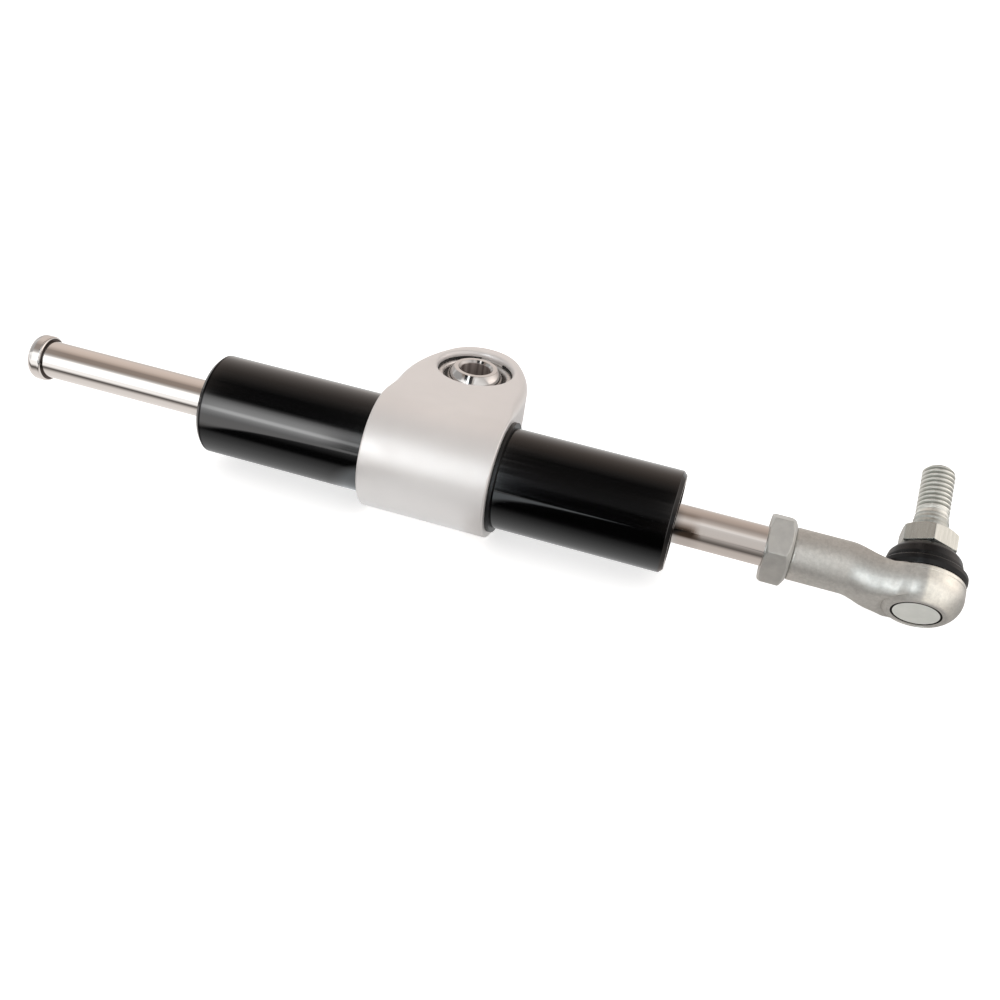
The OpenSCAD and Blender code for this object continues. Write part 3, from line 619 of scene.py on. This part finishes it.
nut = {"acrossFlats": 16.0, "left": 83.97, "right": 90.18, "bore": 5.03, "cornerTurn": 24.0,
       "leftFace": 8.2, "rightFace": 7.0}
coneSlope = 0.577  # of the cones that cut the hexagons' corners


def nutShell():
    # from the bore out over the left face, along the flats under both cones, and back to the bore
    turn = hexTurns(nut["cornerTurn"])
    flats = hexRadius(turn, nut["acrossFlats"], nut["cornerTurn"])
    left, right = nut["left"], nut["right"]
    thick = right - left
    h = np.concatenate([np.linspace(0, 1.0, 20), np.linspace(1.1, thick - 1.8, 6),
                        np.linspace(thick - 1.7, thick, 26)])
    cones = softLeast(nut["leftFace"] + h / coneSlope, nut["rightFace"] + (thick - h) / coneSlope)
    body = softLeast(flats[None, :], cones[:, None])
    leftR = np.array([nut["bore"], nut["bore"], nut["leftFace"] - 0.5])[:, None] * np.ones_like(turn)
    rightR = np.array([nut["rightFace"] - 0.5, nut["bore"], nut["bore"]])[:, None] * np.ones_like(turn)
    heights = np.array([left + 1.0, left, left, *(left + h), right, right, right - 1.0])[:, None]
    return gridShell(np.concatenate([leftR, body, rightR]), turn, heights, aroundTube, rowsClose=True)


makePiece("lockNut", [nutShell()], nutZinc, "rod_set", ["lock_nut"])

# ball joint housing: a turned head and a shank that flares into it
housing = {"shankR": 6.5, "shankStart": -31.04, "shankEnd": -6.5, "headR": 10.2, "headTop": 1.2,
           "headLow": -7.3, "headRound": 6.5, "flatR": 7.0, "rimW": 0.4, "rimH": 0.14, "spoutR": 8.38,
           "spoutTop": 5.4, "mouthR": 6.6, "throatR": 5.65, "cavityR": 7.63, "cavityTop": 3.4, "lip": 5.85,
           "blend": 4.4, "flare": 0.8, "drop": 1.2, "bootClear": 11.4, "bootSlope": 1.3}
# rounding of the shank's end: (radius, distance in from the end)
shankMouth = [(5.03, 2.0), (5.03, 0), (5.9, 0), (6.05, 0.02), (6.32, 0.16), (6.49, 0.48)]


def headArc():
    # centre of the rounding whose circle meets the flat face at its edge
    arcR = housing["headR"] - housing["headRound"]
    return arcR, housing["headLow"] + np.sqrt(housing["headRound"] ** 2 - (housing["flatR"] - arcR) ** 2)


def headShell():
    # from the plug's seat over the flat face with its raised rim, up the rounding and a fine line
    # to the head's top, up the spout that holds the boot, and down inside
    low, top, headR, flatR = (housing[k] for k in ("headLow", "headTop", "headR", "flatR"))
    spoutR, spoutTop, face = housing["spoutR"], housing["spoutTop"], low + housing["rimH"]
    arcR, arcH = headArc()
    start = np.arctan2(low - arcH, flatR - arcR)
    rim, line = flatR - housing["rimW"], top - 1.25
    corners = [(housing["lip"], low + 0.5, 0), (housing["lip"], face, 0.15), (rim, face, 0.04),
               (rim + 0.1, low, 0.04), (flatR, low, 0.1),
               *arcRows(housing["headRound"], start, 0, 25, arcR, arcH)[1:],
               (headR, line - 0.15, 0.04), (headR - 0.14, line, 0.05), (headR, line + 0.15, 0.04),
               (headR, top, 0.5), (spoutR, top, 0), (spoutR, spoutTop, 0.3),
               (housing["mouthR"], spoutTop, 0.2),
               (housing["throatR"], housing["cavityTop"], 0), (housing["cavityR"], housing["cavityTop"], 0),
               (housing["cavityR"], low + 0.45, 0)]
    return lathe(corners, aroundStud, columns=192, steps=6)


def smoothLeast(a, b, width):
    # the lesser of two distances with a fillet of about that width
    mix = np.clip(0.5 + 0.5 * (b - a) / width, 0, 1)
    return b + (a - b) * mix - width * mix * (1 - mix)


def smoothMost(a, b, width):
    return -smoothLeast(-a, -b, width)


def shankDistance(x, y, h):
    # distance to the flared shank, which ends inside the head, joined softly to the head,
    # cut level with the head's flat face and cleared round the boot
    grow = np.clip((x + 18.0) / 8.0, 0, 1)
    grow = grow ** 2 * (3 - 2 * grow)
    side = np.sqrt(y ** 2 + (h + housing["drop"] * grow) ** 2) - housing["shankR"] - housing["flare"] * grow
    past = x - housing["shankEnd"]
    shank = np.sqrt(np.maximum(side, 0) ** 2 + np.maximum(past, 0) ** 2)
    shank = np.minimum(np.maximum(side, past), 0) + shank
    arcR, arcH = headArc()
    out = np.sqrt(x ** 2 + y ** 2)
    ball = np.sqrt(np.maximum(out - arcR, 0) ** 2 + np.minimum(h - arcH, 0) ** 2) - housing["headRound"]
    head = np.maximum(np.where(h < arcH, ball, out - housing["headR"]), h - housing["headTop"]) + 0.06
    joined = smoothLeast(shank, head, housing["blend"])
    inside = np.clip((housing["headR"] - 1.2 - out) / 2.2, 0, 1)
    joined = smoothMost(joined, housing["headLow"] + 0.05 + 1.8 * inside - h, 0.2)
    boot = out - housing["bootClear"] - housing["bootSlope"] * (h - housing["headTop"])
    pocket = np.maximum(boot * 0.84, housing["headTop"] - 0.06 - h)
    return smoothMost(joined, -pocket, 0.5)


def shankShell(rows=150, columns=192):
    # along the shank, each ray square to it is halved in steps until it meets the distance zero
    start = housing["shankStart"]
    along = np.linspace(start + 0.55, -2.0, rows)[:, None]
    turn = np.linspace(0, fullTurn, columns, endpoint=False)[None, :]
    middle = -housing["drop"] * np.clip((along + 20) / 10, 0, 1)
    low, high = np.zeros((rows, columns)), np.full((rows, columns), 15.0)
    for _ in range(40):
        reach = (low + high) / 2
        inside = shankDistance(along, reach * np.cos(turn), middle + reach * np.sin(turn)) < 0
        low, high = np.where(inside, reach, low), np.where(inside, high, reach)
    reach = (low + high) / 2
    mouthR, mouthIn = np.array(shankMouth).T[:, :, None]
    x = np.concatenate([start + mouthIn, along, along[-1:], along[-1:]])
    r = np.concatenate([mouthR * np.ones((1, columns)), reach, 0.5 * reach[-1:], 0 * reach[-1:]])
    lift = np.concatenate([0 * mouthIn, middle, middle[-1:], middle[-1:]])
    points = fromJoint(x, r * np.cos(turn), lift + r * np.sin(turn))
    return points.reshape(-1, 3), gridFaces(*r.shape, False)


makePiece("jointHousing", [headShell(), shankShell()], housingZinc, "rod_set",
          ["joint_housing"])

# closing plug: a dished face, a deep gap round it and a flange inside the head
plug = {"r": 5.46, "face": -7.15, "dish": 0.1, "edge": 0.2, "gapR": 5.88, "gapTop": -6.4, "flangeR": 7.55,
        "flangeLow": -6.82, "flangeTop": -6.3, "reliefR": 2.6, "reliefTop": -6.6}


def plugShell():
    # the dish deepens with one minus the square of the radius's share
    r, gapR, flangeR, reliefR = (plug[k] for k in ("r", "gapR", "flangeR", "reliefR"))
    dish = [(r * s, plug["face"] + plug["dish"] * (1 - s ** 2), 0) for s in np.linspace(0, 0.94, 14)]
    corners = [*dish, (r, plug["face"], plug["edge"]), (r, plug["gapTop"], 0), (gapR, plug["gapTop"], 0),
               (gapR, plug["flangeLow"], 0), (flangeR, plug["flangeLow"], 0),
               (flangeR, plug["flangeTop"], 0), (reliefR, plug["flangeTop"], 0),
               (reliefR, plug["reliefTop"], 0), (0, plug["reliefTop"])]
    return lathe(corners, aroundStud, closed=False, columns=128)


makePiece("jointPlug", [plugShell()], plugZinc, "rod_set", ["joint_plug"])

# boot: outside from the lip round the spout over a crease and a dome up to the stud, then back down inside;
# the two heights of a bend only become points on the stud's axis; nothing bends it
boot = {"outside": [(8.42, 1.26, 0), (10.0, 1.26, 0.3), (10.38, 2.45, 0.6), (10.38, 3.5, 0.45),
                    (9.85, 3.98, 0.3), (9.0, 4.36, 0.22), (9.1, 5.3, 0.8), (8.6, 7.3, 1.6),
                    (7.4, 8.7, 1.6), (6.0, 9.5, 0.8), (5.0, 9.64, 0.3)],
        "inside": [(4.95, 8.1, 0.2), (5.7, 8.1, 0.4), (7.2, 7.2, 0.5), (8.42, 5.8, 0.2), (8.42, 3.85, 0),
                   (9.06, 3.85, 0), (9.06, 1.9, 0), (8.42, 1.9, 0)],
        "bendStart": 5.4, "bendEnd": 9.0}
bootShell = lathe(boot["outside"] + boot["inside"], aroundStud, columns=160)
bootPiece = makePiece("dustBoot", [bootShell], bootRubber, None, ["boot"])
bootStart, bootEnd = fromJoint(0, 0, boot["bendStart"]) * mm, fromJoint(0, 0, boot["bendEnd"]) * mm
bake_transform(bootPiece)

# ball stud with hexagon, collar and rolled thread
stud = {"ballR": 6.5, "neckR": 4.2, "hexLow": 9.75, "hexTop": 14.65, "acrossFlats": 12.6,
        "cornerTurn": 28.0, "lowFace": 7.1, "topFace": 6.0, "collarR": 4.3, "collarMid": 4.1,
        "collarFillet": 0.3, "ringDeep": 0.09, "threadStart": 20.3, "threadR": 3.98, "threadRoot": 3.36,
        "fadeIn": 1.2, "pitch": 1.25, "tip": 32.8, "tipR": 3.1}


def studShell():
    # blocks of rings, each with a radius and a height, from the ball's foot to the tip
    turn = hexTurns(stud["cornerTurn"], 40)
    blocks = []

    def addRings(r, h):
        blocks.append(np.stack(np.broadcast_arrays(r, h, turn[None, :])[:2]))

    def column(values):
        return np.asarray(values, float)[:, None]

    hexLow, hexTop, collarR, tip = (stud[k] for k in ("hexLow", "hexTop", "collarR", "tip"))
    a = column(np.linspace(-np.pi / 2, np.arccos(stud["neckR"] / stud["ballR"]), 40))
    addRings(stud["ballR"] * np.cos(a), stud["ballR"] * np.sin(a))
    addRings(stud["neckR"], column([6.0, 8.0, hexLow - 0.3, hexLow - 0.08]))
    # hexagon: six flats under a cone at each face
    flats = hexRadius(turn, stud["acrossFlats"], stud["cornerTurn"], 110)
    thick = hexTop - hexLow
    addRings(stud["neckR"] + 0.1, column([hexLow]))
    h = column(np.concatenate([np.linspace(0, 1.0, 16), np.linspace(1.15, thick - 1.15, 5),
                               np.linspace(thick - 1.0, thick, 16)]))
    cones = softLeast(stud["lowFace"] + h / coneSlope, stud["topFace"] + (thick - h) / coneSlope)
    addRings(softLeast(flats[None, :], cones), hexLow + h)
    # collar: a fillet from the hexagon, then a slow cone with faint turned rings up to the thread
    a = column(np.radians(np.linspace(0, 90, 8)))
    fillet = stud["collarFillet"]
    addRings(collarR + fillet * (1 - np.sin(a)), hexTop + fillet * (1 - np.cos(a)))
    share = column(np.linspace(0, 1, 60))
    groove = stud["ringDeep"] * np.sin(np.pi * share) * np.cos(fullTurn * 4 * share)
    cone = collarR + (stud["collarMid"] - collarR) * np.minimum(1, 1.6 * share)
    cone += (stud["threadR"] - 0.2 - stud["collarMid"]) * np.maximum(0, (share - 0.62) / 0.38)
    addRings(cone + groove, hexTop + 0.35 + (stud["threadStart"] - 0.1 - hexTop - 0.35) * share)
    # thread: a ridge that climbs one pitch each turn, fading in at the collar and cut back at the tip
    h = column(np.linspace(stud["threadStart"], tip, 240))
    wave = 0.5 + 0.5 * np.cos(fullTurn * (h - stud["pitch"] * turn / fullTurn) / stud["pitch"])
    ridge = np.clip(1.25 * wave ** 0.8 - 0.06, 0, 1)
    fade = np.clip((h - stud["threadStart"]) / stud["fadeIn"], 0, 1)
    r = stud["threadRoot"] + (stud["threadR"] - stud["threadRoot"]) * (1 - fade * (1 - ridge))
    addRings(np.minimum(r, stud["tipR"] + (tip - h) * 0.95), h)
    addRings(column([stud["tipR"] - 0.25, 0]), tip)
    radius, height = np.concatenate(blocks, 1)
    return gridShell(radius, turn, height, aroundStud)


makePiece("ballStud", [studShell()], studZinc, "stud", ["ball_stud"])
print("ball joint made")

# camera at the photograph's angle
view = {"place": (67.95, -271.47, 136.47), "azimuth": 11.64, "elevation": 31.42, "roll": 8.79, "lens": 41.4}


def placeCamera():
    # looks back along azimuth and elevation, then rolls about that line
    azimuth, elevation, roll = np.radians([view["azimuth"], view["elevation"], view["roll"]])
    level = np.cos(elevation)
    back = np.array([np.sin(azimuth) * level, -np.cos(azimuth) * level, np.sin(elevation)])
    right = np.array([np.cos(azimuth), np.sin(azimuth), 0])
    up = np.cross(back, right)
    rolledRight = np.cos(roll) * right + np.sin(roll) * up
    rolledUp = np.cos(roll) * up - np.sin(roll) * right
    lens = bpy.data.cameras.new("camera")
    lens.lens = view["lens"]
    lens.sensor_width = 36.0
    lens.sensor_fit = "HORIZONTAL"
    lens.clip_start = 0.01
    camera = bpy.data.objects.new("camera", lens)
    turned = Matrix((rolledRight, rolledUp, back)).transposed().to_4x4()
    turned.translation = [v * mm for v in view["place"]]
    camera.matrix_world = turned
    bpy.context.scene.collection.objects.link(camera)
    bpy.context.scene.camera = camera


placeCamera()

# studio: pale floor, white world, and a tent of soft light that only mirrors see
studio = {"floorDrop": 0.1, "floorHalf": 4000.0, "floorColor": (0.9, 0.89, 0.88), "floorForView": 0.6,
          "floorForMirrors": 0.1, "worldLevel": 0.95, "tentR": 750.0, "tentHalf": 6000.0, "green": 0.1,
          "blue": 0.16}

# strips of the tent, from the viewer's side over the top to the back: (height angle, light level, warmth)
besideLeft = [(-20, 0.9, 0), (20, 1.0, 0), (24, 1.25, 0), (38, 1.25, 0), (43, 0.5, 0.2), (105, 0.52, 0.2),
              (115, 0.8, 0.1), (130, 0.8, 0.2), (142, 0.6, 0.4), (200, 0.7, 0.6)]
overLeftRod = [(-20, 1.75, 0), (40, 1.6, 0.1), (47, 0.78, 0.4), (55, 0.48, 0.9), (63, 0.36, 1.8),
               (85, 0.36, 1.8), (95, 0.57, 1.8), (111, 0.77, 1.6), (128, 0.85, 1.6), (150, 0.88, 1.4),
               (173, 0.73, 1.1), (200, 0.75, 0.7)]
behindTube = [(50, 0.03, 0), (82, 0.03, 0), (92, 0.1, 1), (117, 0.31, 1.5), (141, 0.61, 1.2),
              (165, 0.93, 0.8), (200, 1.45, 0.6)]
overTubeLeft = [(-20, 0.1, 0), (-14, 0.25, 0), (-6, 0.8, 0), (6, 2.0, 0), (11, 2.9, 0), (13, 4.6, 0),
                (18, 4.6, 0), (21, 2.9, 0), (31, 2.2, 0), (40, 1.1, 0), (45, 0.25, 0), *behindTube]
overTubeInner = [(-20, 0.08, 0), (-6, 0.25, 0), (6, 0.6, 0), (12, 0.8, 0), (14, 2.1, 0), (18, 2.1, 0),
                 (21, 1.1, 0), (34, 1.3, 0), (40, 0.9, 0), (45, 0.2, 0), *behindTube]
overSleeve = [(-20, 1.5, -1), (-10, 2.4, -1.1), (0, 3.3, -1.2), (10, 4.5, -1.2), (23, 5.3, -1.2),
              (33, 5.2, -1.2), (43, 3.7, -1), (54, 2.5, -0.5), (64, 1.9, 0), (84, 1.5, 0.6), (95, 2.1, 1),
              (105, 2.1, 1.2), (125, 1.7, 1.2), (140, 1.1, 1.1), (160, 0.95, 1.1), (200, 1, 1.1)]
overTubeRight = [(-20, 0.01, 0), (24, 0.01, 0), (32, 0.08, 0), (43, 0.075, 0), (53, 0.06, 0.3),
                 (92, 0.035, 0.6), (104, 0.15, 1.2), (117, 0.27, 1.8), (141, 0.52, 1.6), (165, 0.84, 0.8),
                 (200, 1.25, 0.6)]
overRodStart = [(-20, 0.045, 3), (5, 0.05, 3), (13, 0.13, 2.4), (20, 0.24, 1.9), (29, 0.36, 1.5),
                (37, 0.52, 1.2), (45, 0.7, 1), (55, 0.82, 0.8), (61, 0.79, 0.8), (70, 0.65, 1),
                (77, 0.53, 1.2), (87, 0.38, 1.7), (95, 0.33, 2), (105, 0.42, 1.8), (120, 0.57, 1.7),
                (144, 0.68, 1.6), (168, 0.66, 1.2), (200, 0.72, 0.8)]
overRod = [(-20, 0.36, 1), (-10, 0.44, 1), (-2, 0.58, 0.9), (7, 0.72, 0.7), (39, 0.73, 0.6), (50, 0.8, 0.5),
           (55, 1.0, 0.4), (66, 0.9, 0.7), (72, 0.7, 1), (87, 0.5, 1.2), (100, 0.43, 1.6), (120, 0.57, 1.7),
           (144, 0.68, 1.6), (168, 0.74, 1.2), (200, 0.85, 0.8)]
overShank = [(-20, 0.15, 0.4), (1, 0.33, 0.4), (13, 0.6, 0.3), (25, 0.9, 0.2), (37, 1.25, 0.1),
             (55, 1.3, 0.2), (66, 1, 0.4), (75, 0.75, 0.5), (87, 0.42, 0.9), (97, 0.34, 1.2),
             (145, 0.38, 1.3), (169, 0.5, 1), (200, 0.65, 0.8)]
overJoint = [(-20, 0.6, 0.4), (20, 1.1, 0.2), (60, 1.2, 0.3), (72, 0.6, 0.6), (90, 0.42, 1), (110, 0.45, 1),
             (144, 0.6, 1), (200, 0.7, 0.8)]
besideRight = [(-20, 1.1, 0.3), (45, 1.2, 0.3), (75, 0.8, 0.4), (110, 0.8, 0.5), (130, 0.95, 0.7),
               (160, 0.8, 1), (200, 0.8, 0.8)]
rightPatch = [(-20, 1.1, 0.3), (45, 1.2, 0.3), (72, 0.8, 0.6), (84, 1.7, 0.9), (110, 1.9, 1), (160, 1.9, 1),
               (178, 0.9, 1), (200, 0.8, 0.8)]
farRight = [(-20, 1.2, 0.6), (45, 1.3, 0.7), (70, 0.8, 0.5), (200, 0.8, 0.6)]
tentLight = {-6000: besideLeft, -680: besideLeft, -560: overLeftRod, -420: overLeftRod, -398: overTubeLeft,
             -285: overTubeLeft, -262: overTubeInner, -225: overTubeInner, -212: overSleeve,
             -142: overSleeve, -120: overTubeRight, 42: overTubeRight, 50: overRodStart, 62: overRodStart,
             68: overRod, 128: overRod, 160: overShank, 230: overShank, 300: overJoint, 440: besideRight,
             1350: rightPatch, 1450: rightPatch, 1650: farRight, 6000: farRight}

# strips of the floor that mirrors see, from the viewer's side to the back: (y, light level, warmth)
byLeftRod = [(-780, 1.3, 0), (-81, 1.3, 0.2), (-70, 0.98, 0.3), (-63, 0.6, 0.5), (-57, 0.17, 0.8),
             (-52, 0.14, 0.8), (-47.6, 0.33, 0.8), (-43, 0.68, 0.7), (-39, 0.92, 0.6), (-24, 1.02, 0.5),
             (60, 1.02, 0.5)]
byTubeLeft = [(-780, 0.37, 0), (-140, 0.22, 0), (-92, 0.08, 0), (-78, 0.02, 0), (-60, 0.01, 0),
              (-57, 0.04, 0), (-54, 0.16, 0), (-52, 0.24, 0), (-46, 0.37, 0), (-42.5, 0.49, 0),
              (-36, 0.64, 0), (-28, 0.58, 0), (60, 0.55, 0)]
bySleeve = [(-780, 1.0, -0.7), (-92, 0.82, -0.7), (-65, 0.7, -0.6), (-50, 0.95, -0.5), (-24, 1.05, -0.4),
            (60, 0.7, -0.2)]
byTubeRight = [(-780, 0.005, 0), (-62, 0.005, 0), (-56, 0.04, 0), (-47, 0.25, 0), (-40, 0.5, 0),
               (-36, 0.62, 0), (-28, 0.7, 0), (60, 0.75, 0)]
byRodStart = [(-780, 0.05, 3), (-90, 0.045, 3), (-55, 0.06, 3), (-52, 0.1, 2), (-48, 0.27, 1.4),
              (-43, 0.5, 1), (-39, 0.58, 0.9), (-24, 0.62, 0.9), (60, 0.61, 0.8)]
byRod = [(-780, 0.55, 0.8), (-121, 0.45, 0.8), (-81, 0.31, 1), (-63, 0.2, 1), (-53, 0.15, 1.2),
         (-48, 0.33, 1.1), (-43, 0.54, 1), (-39, 0.66, 1), (-24, 0.73, 0.9), (60, 0.73, 0.8)]
byShank = [(-780, 0.3, 0.3), (-121, 0.25, 0.4), (-72, 0.25, 0.6), (-55, 0.28, 0.6), (-47, 0.36, 0.6),
           (-41, 0.5, 0.6), (-24, 0.6, 0.6), (60, 0.7, 0.6)]
byJoint = [(-780, 1.0, 0.2), (-121, 1.0, 0.3), (-79, 0.9, 0.4), (-60, 0.7, 0.5), (-48, 0.45, 0.6),
           (-10, 0.4, 0.6), (60, 0.7, 0.5)]
floorLight = {-112: byLeftRod, -74: byLeftRod, -70: byTubeLeft, -28: byTubeLeft, -24: bySleeve, 9: bySleeve,
              13: byTubeRight, 60: byTubeRight, 63: byRodStart, 66.5: byRodStart, 69: byRod, 90: byRod,
              96: byShank, 108: byShank, 125: byJoint, 160: byJoint}


def stageMesh(name, points, faces, finish):
    # a plain mesh that belongs to the studio and not to the part
    mesh = bpy.data.meshes.new(name)
    mesh.from_pydata((np.asarray(points) * mm).tolist(), [], np.asarray(faces).tolist())
    mesh.materials.append(finish)
    piece = bpy.data.objects.new(name, mesh)
    bpy.context.scene.collection.objects.link(piece)
    piece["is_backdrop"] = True
    return piece


def levelForView(tree, forView, forMirror):
    # one level for rays from the camera and another for rays from a mirror or clear glass
    path = tree.nodes.new("ShaderNodeLightPath")
    mirror, share, level = (tree.nodes.new("ShaderNodeMath") for _ in range(3))
    mirror.operation, share.operation, level.operation = "MAXIMUM", "MULTIPLY", "MULTIPLY_ADD"
    tree.links.new(path.outputs["Is Glossy Ray"], mirror.inputs[0])
    tree.links.new(path.outputs["Is Transmission Ray"], mirror.inputs[1])
    tree.links.new(mirror.outputs[0], share.inputs[0])
    share.inputs[1].default_value = forMirror
    tree.links.new(path.outputs["Is Camera Ray"], level.inputs[0])
    level.inputs[1].default_value = forView
    tree.links.new(share.outputs[0], level.inputs[2])
    return level.outputs[0]


def emptyFinish(name):
    finish = bpy.data.materials.new(name)
    finish.use_nodes = True
    finish.node_tree.nodes.clear()
    return finish, finish.node_tree


def floorFinish():
    # matt and pale, lifted to white for the view and a little for mirrors, so that the shadow is faint
    finish, tree = emptyFinish("paleFloor")
    matt, glow = tree.nodes.new("ShaderNodeBsdfDiffuse"), tree.nodes.new("ShaderNodeEmission")
    both, out = tree.nodes.new("ShaderNodeAddShader"), tree.nodes.new("ShaderNodeOutputMaterial")
    matt.inputs["Color"].default_value = (*studio["floorColor"], 1)
    lifted = levelForView(tree, studio["floorForView"], studio["floorForMirrors"])
    tree.links.new(lifted, glow.inputs["Strength"])
    tree.links.new(matt.outputs[0], both.inputs[0])
    tree.links.new(glow.outputs[0], both.inputs[1])
    tree.links.new(both.outputs[0], out.inputs["Surface"])
    return finish


def glowFinish(name):
    # shines in the colour that the mesh carries in its glow attribute
    finish, tree = emptyFinish(name)
    finish.cycles.emission_sampling = "NONE"
    glow, out = tree.nodes.new("ShaderNodeEmission"), tree.nodes.new("ShaderNodeOutputMaterial")
    source = tree.nodes.new("ShaderNodeAttribute")
    source.attribute_name = "glow"
    tree.links.new(source.outputs["Color"], glow.inputs["Color"])
    tree.links.new(glow.outputs[0], out.inputs["Surface"])
    return finish


def tableLight(table, along, across):
    # reads level and warmth across each strip, goes straight from strip to strip along x, tints the level
    rows = []
    for place in sorted(table):
        at, level, warmth = zip(*table[place])
        rows.append([np.interp(across, at, level), np.interp(across, at, warmth)])
    rows, places = np.array(rows), np.array(sorted(table), float)
    index = np.clip(np.searchsorted(places, along) - 1, 0, len(places) - 2)
    share = np.clip((along - places[index]) / (places[index + 1] - places[index]), 0, 1)[:, None, None]
    mixed = rows[index] * (1 - share) + rows[index + 1] * share
    level, warmth = mixed[:, 0], mixed[:, 1]
    green, blue = (level * (1 - studio[k] * warmth) for k in ("green", "blue"))
    return np.stack([level, green, blue], -1)


def glowSheet(name, points, light, rays):
    # a grid of points whose colour attribute shines; only the named kinds of ray see it
    rows, columns = points.shape[:2]
    first = np.arange(rows - 1)[:, None] * columns + np.arange(columns - 1)[None, :]
    faces = np.stack([first, first + 1, first + columns + 1, first + columns], -1).reshape(-1, 4)
    sheet = stageMesh(name, points.reshape(-1, 3), faces, glowFinish(name + "Glow"))
    color = np.ones((rows * columns, 4), np.float32)
    color[:, :3] = light.reshape(-1, 3)
    sheet.data.attributes.new("glow", "FLOAT_COLOR", "POINT").data.foreach_set("color", color.ravel())
    for kind in ("camera", "diffuse", "glossy", "transmission", "shadow"):
        setattr(sheet, "visible_" + kind, kind in rays)


def makeTent():
    # half a cylinder of light round the tube's axis, finely divided where the strips change
    lift = np.linspace(-17, 197, 215)
    half = studio["tentHalf"]
    x = np.concatenate([[-half], np.linspace(-680, 440, 281), [1350, 1500, half]])
    points = aroundTube(studio["tentR"], np.radians(lift[None, :]), x[:, None])
    glowSheet("lightTent", points, tableLight(tentLight, x, lift), ("glossy", "transmission"))


def makeFloor():
    # a matt square, and a sheet on it that only mirrors see: the table's darker edge and the viewer's side
    low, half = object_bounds()[0].z / mm - studio["floorDrop"], studio["floorHalf"]
    square = [(-half, -half, low), (half, -half, low), (half, half, low), (-half, half, low)]
    stageMesh("floor", square, [(0, 1, 2, 3)], floorFinish())
    x = np.concatenate([np.linspace(-900, -200, 15), np.linspace(-180, 240, 281),
                        np.linspace(260, 900, 14)])
    y = np.concatenate([np.linspace(-790, -160, 25), np.linspace(-150, -18, 89), np.linspace(-10, 60, 8)])
    points = np.stack(np.broadcast_arrays(x[:, None], y[None, :], low + 0.05), -1)
    glowSheet("floorGlow", points, tableLight(floorLight, x, y), ("glossy",))


def makeWorld():
    # a little under 1 on the object, and 1 for the view and for mirrors
    world = bpy.data.worlds.new("studioWorld")
    bpy.context.scene.world = world
    world.use_nodes = True
    tree = world.node_tree
    shine, level = tree.nodes["Background"], tree.nodes.new("ShaderNodeMath")
    shine.inputs["Color"].default_value = (1, 1, 1, 1)
    level.operation = "ADD"
    level.inputs[1].default_value = studio["worldLevel"]
    rest = 1 - studio["worldLevel"]
    tree.links.new(levelForView(tree, rest, rest), level.inputs[0])
    tree.links.new(level.outputs[0], shine.inputs["Strength"])


makeTent()
makeFloor()
makeWorld()
print("studio made")
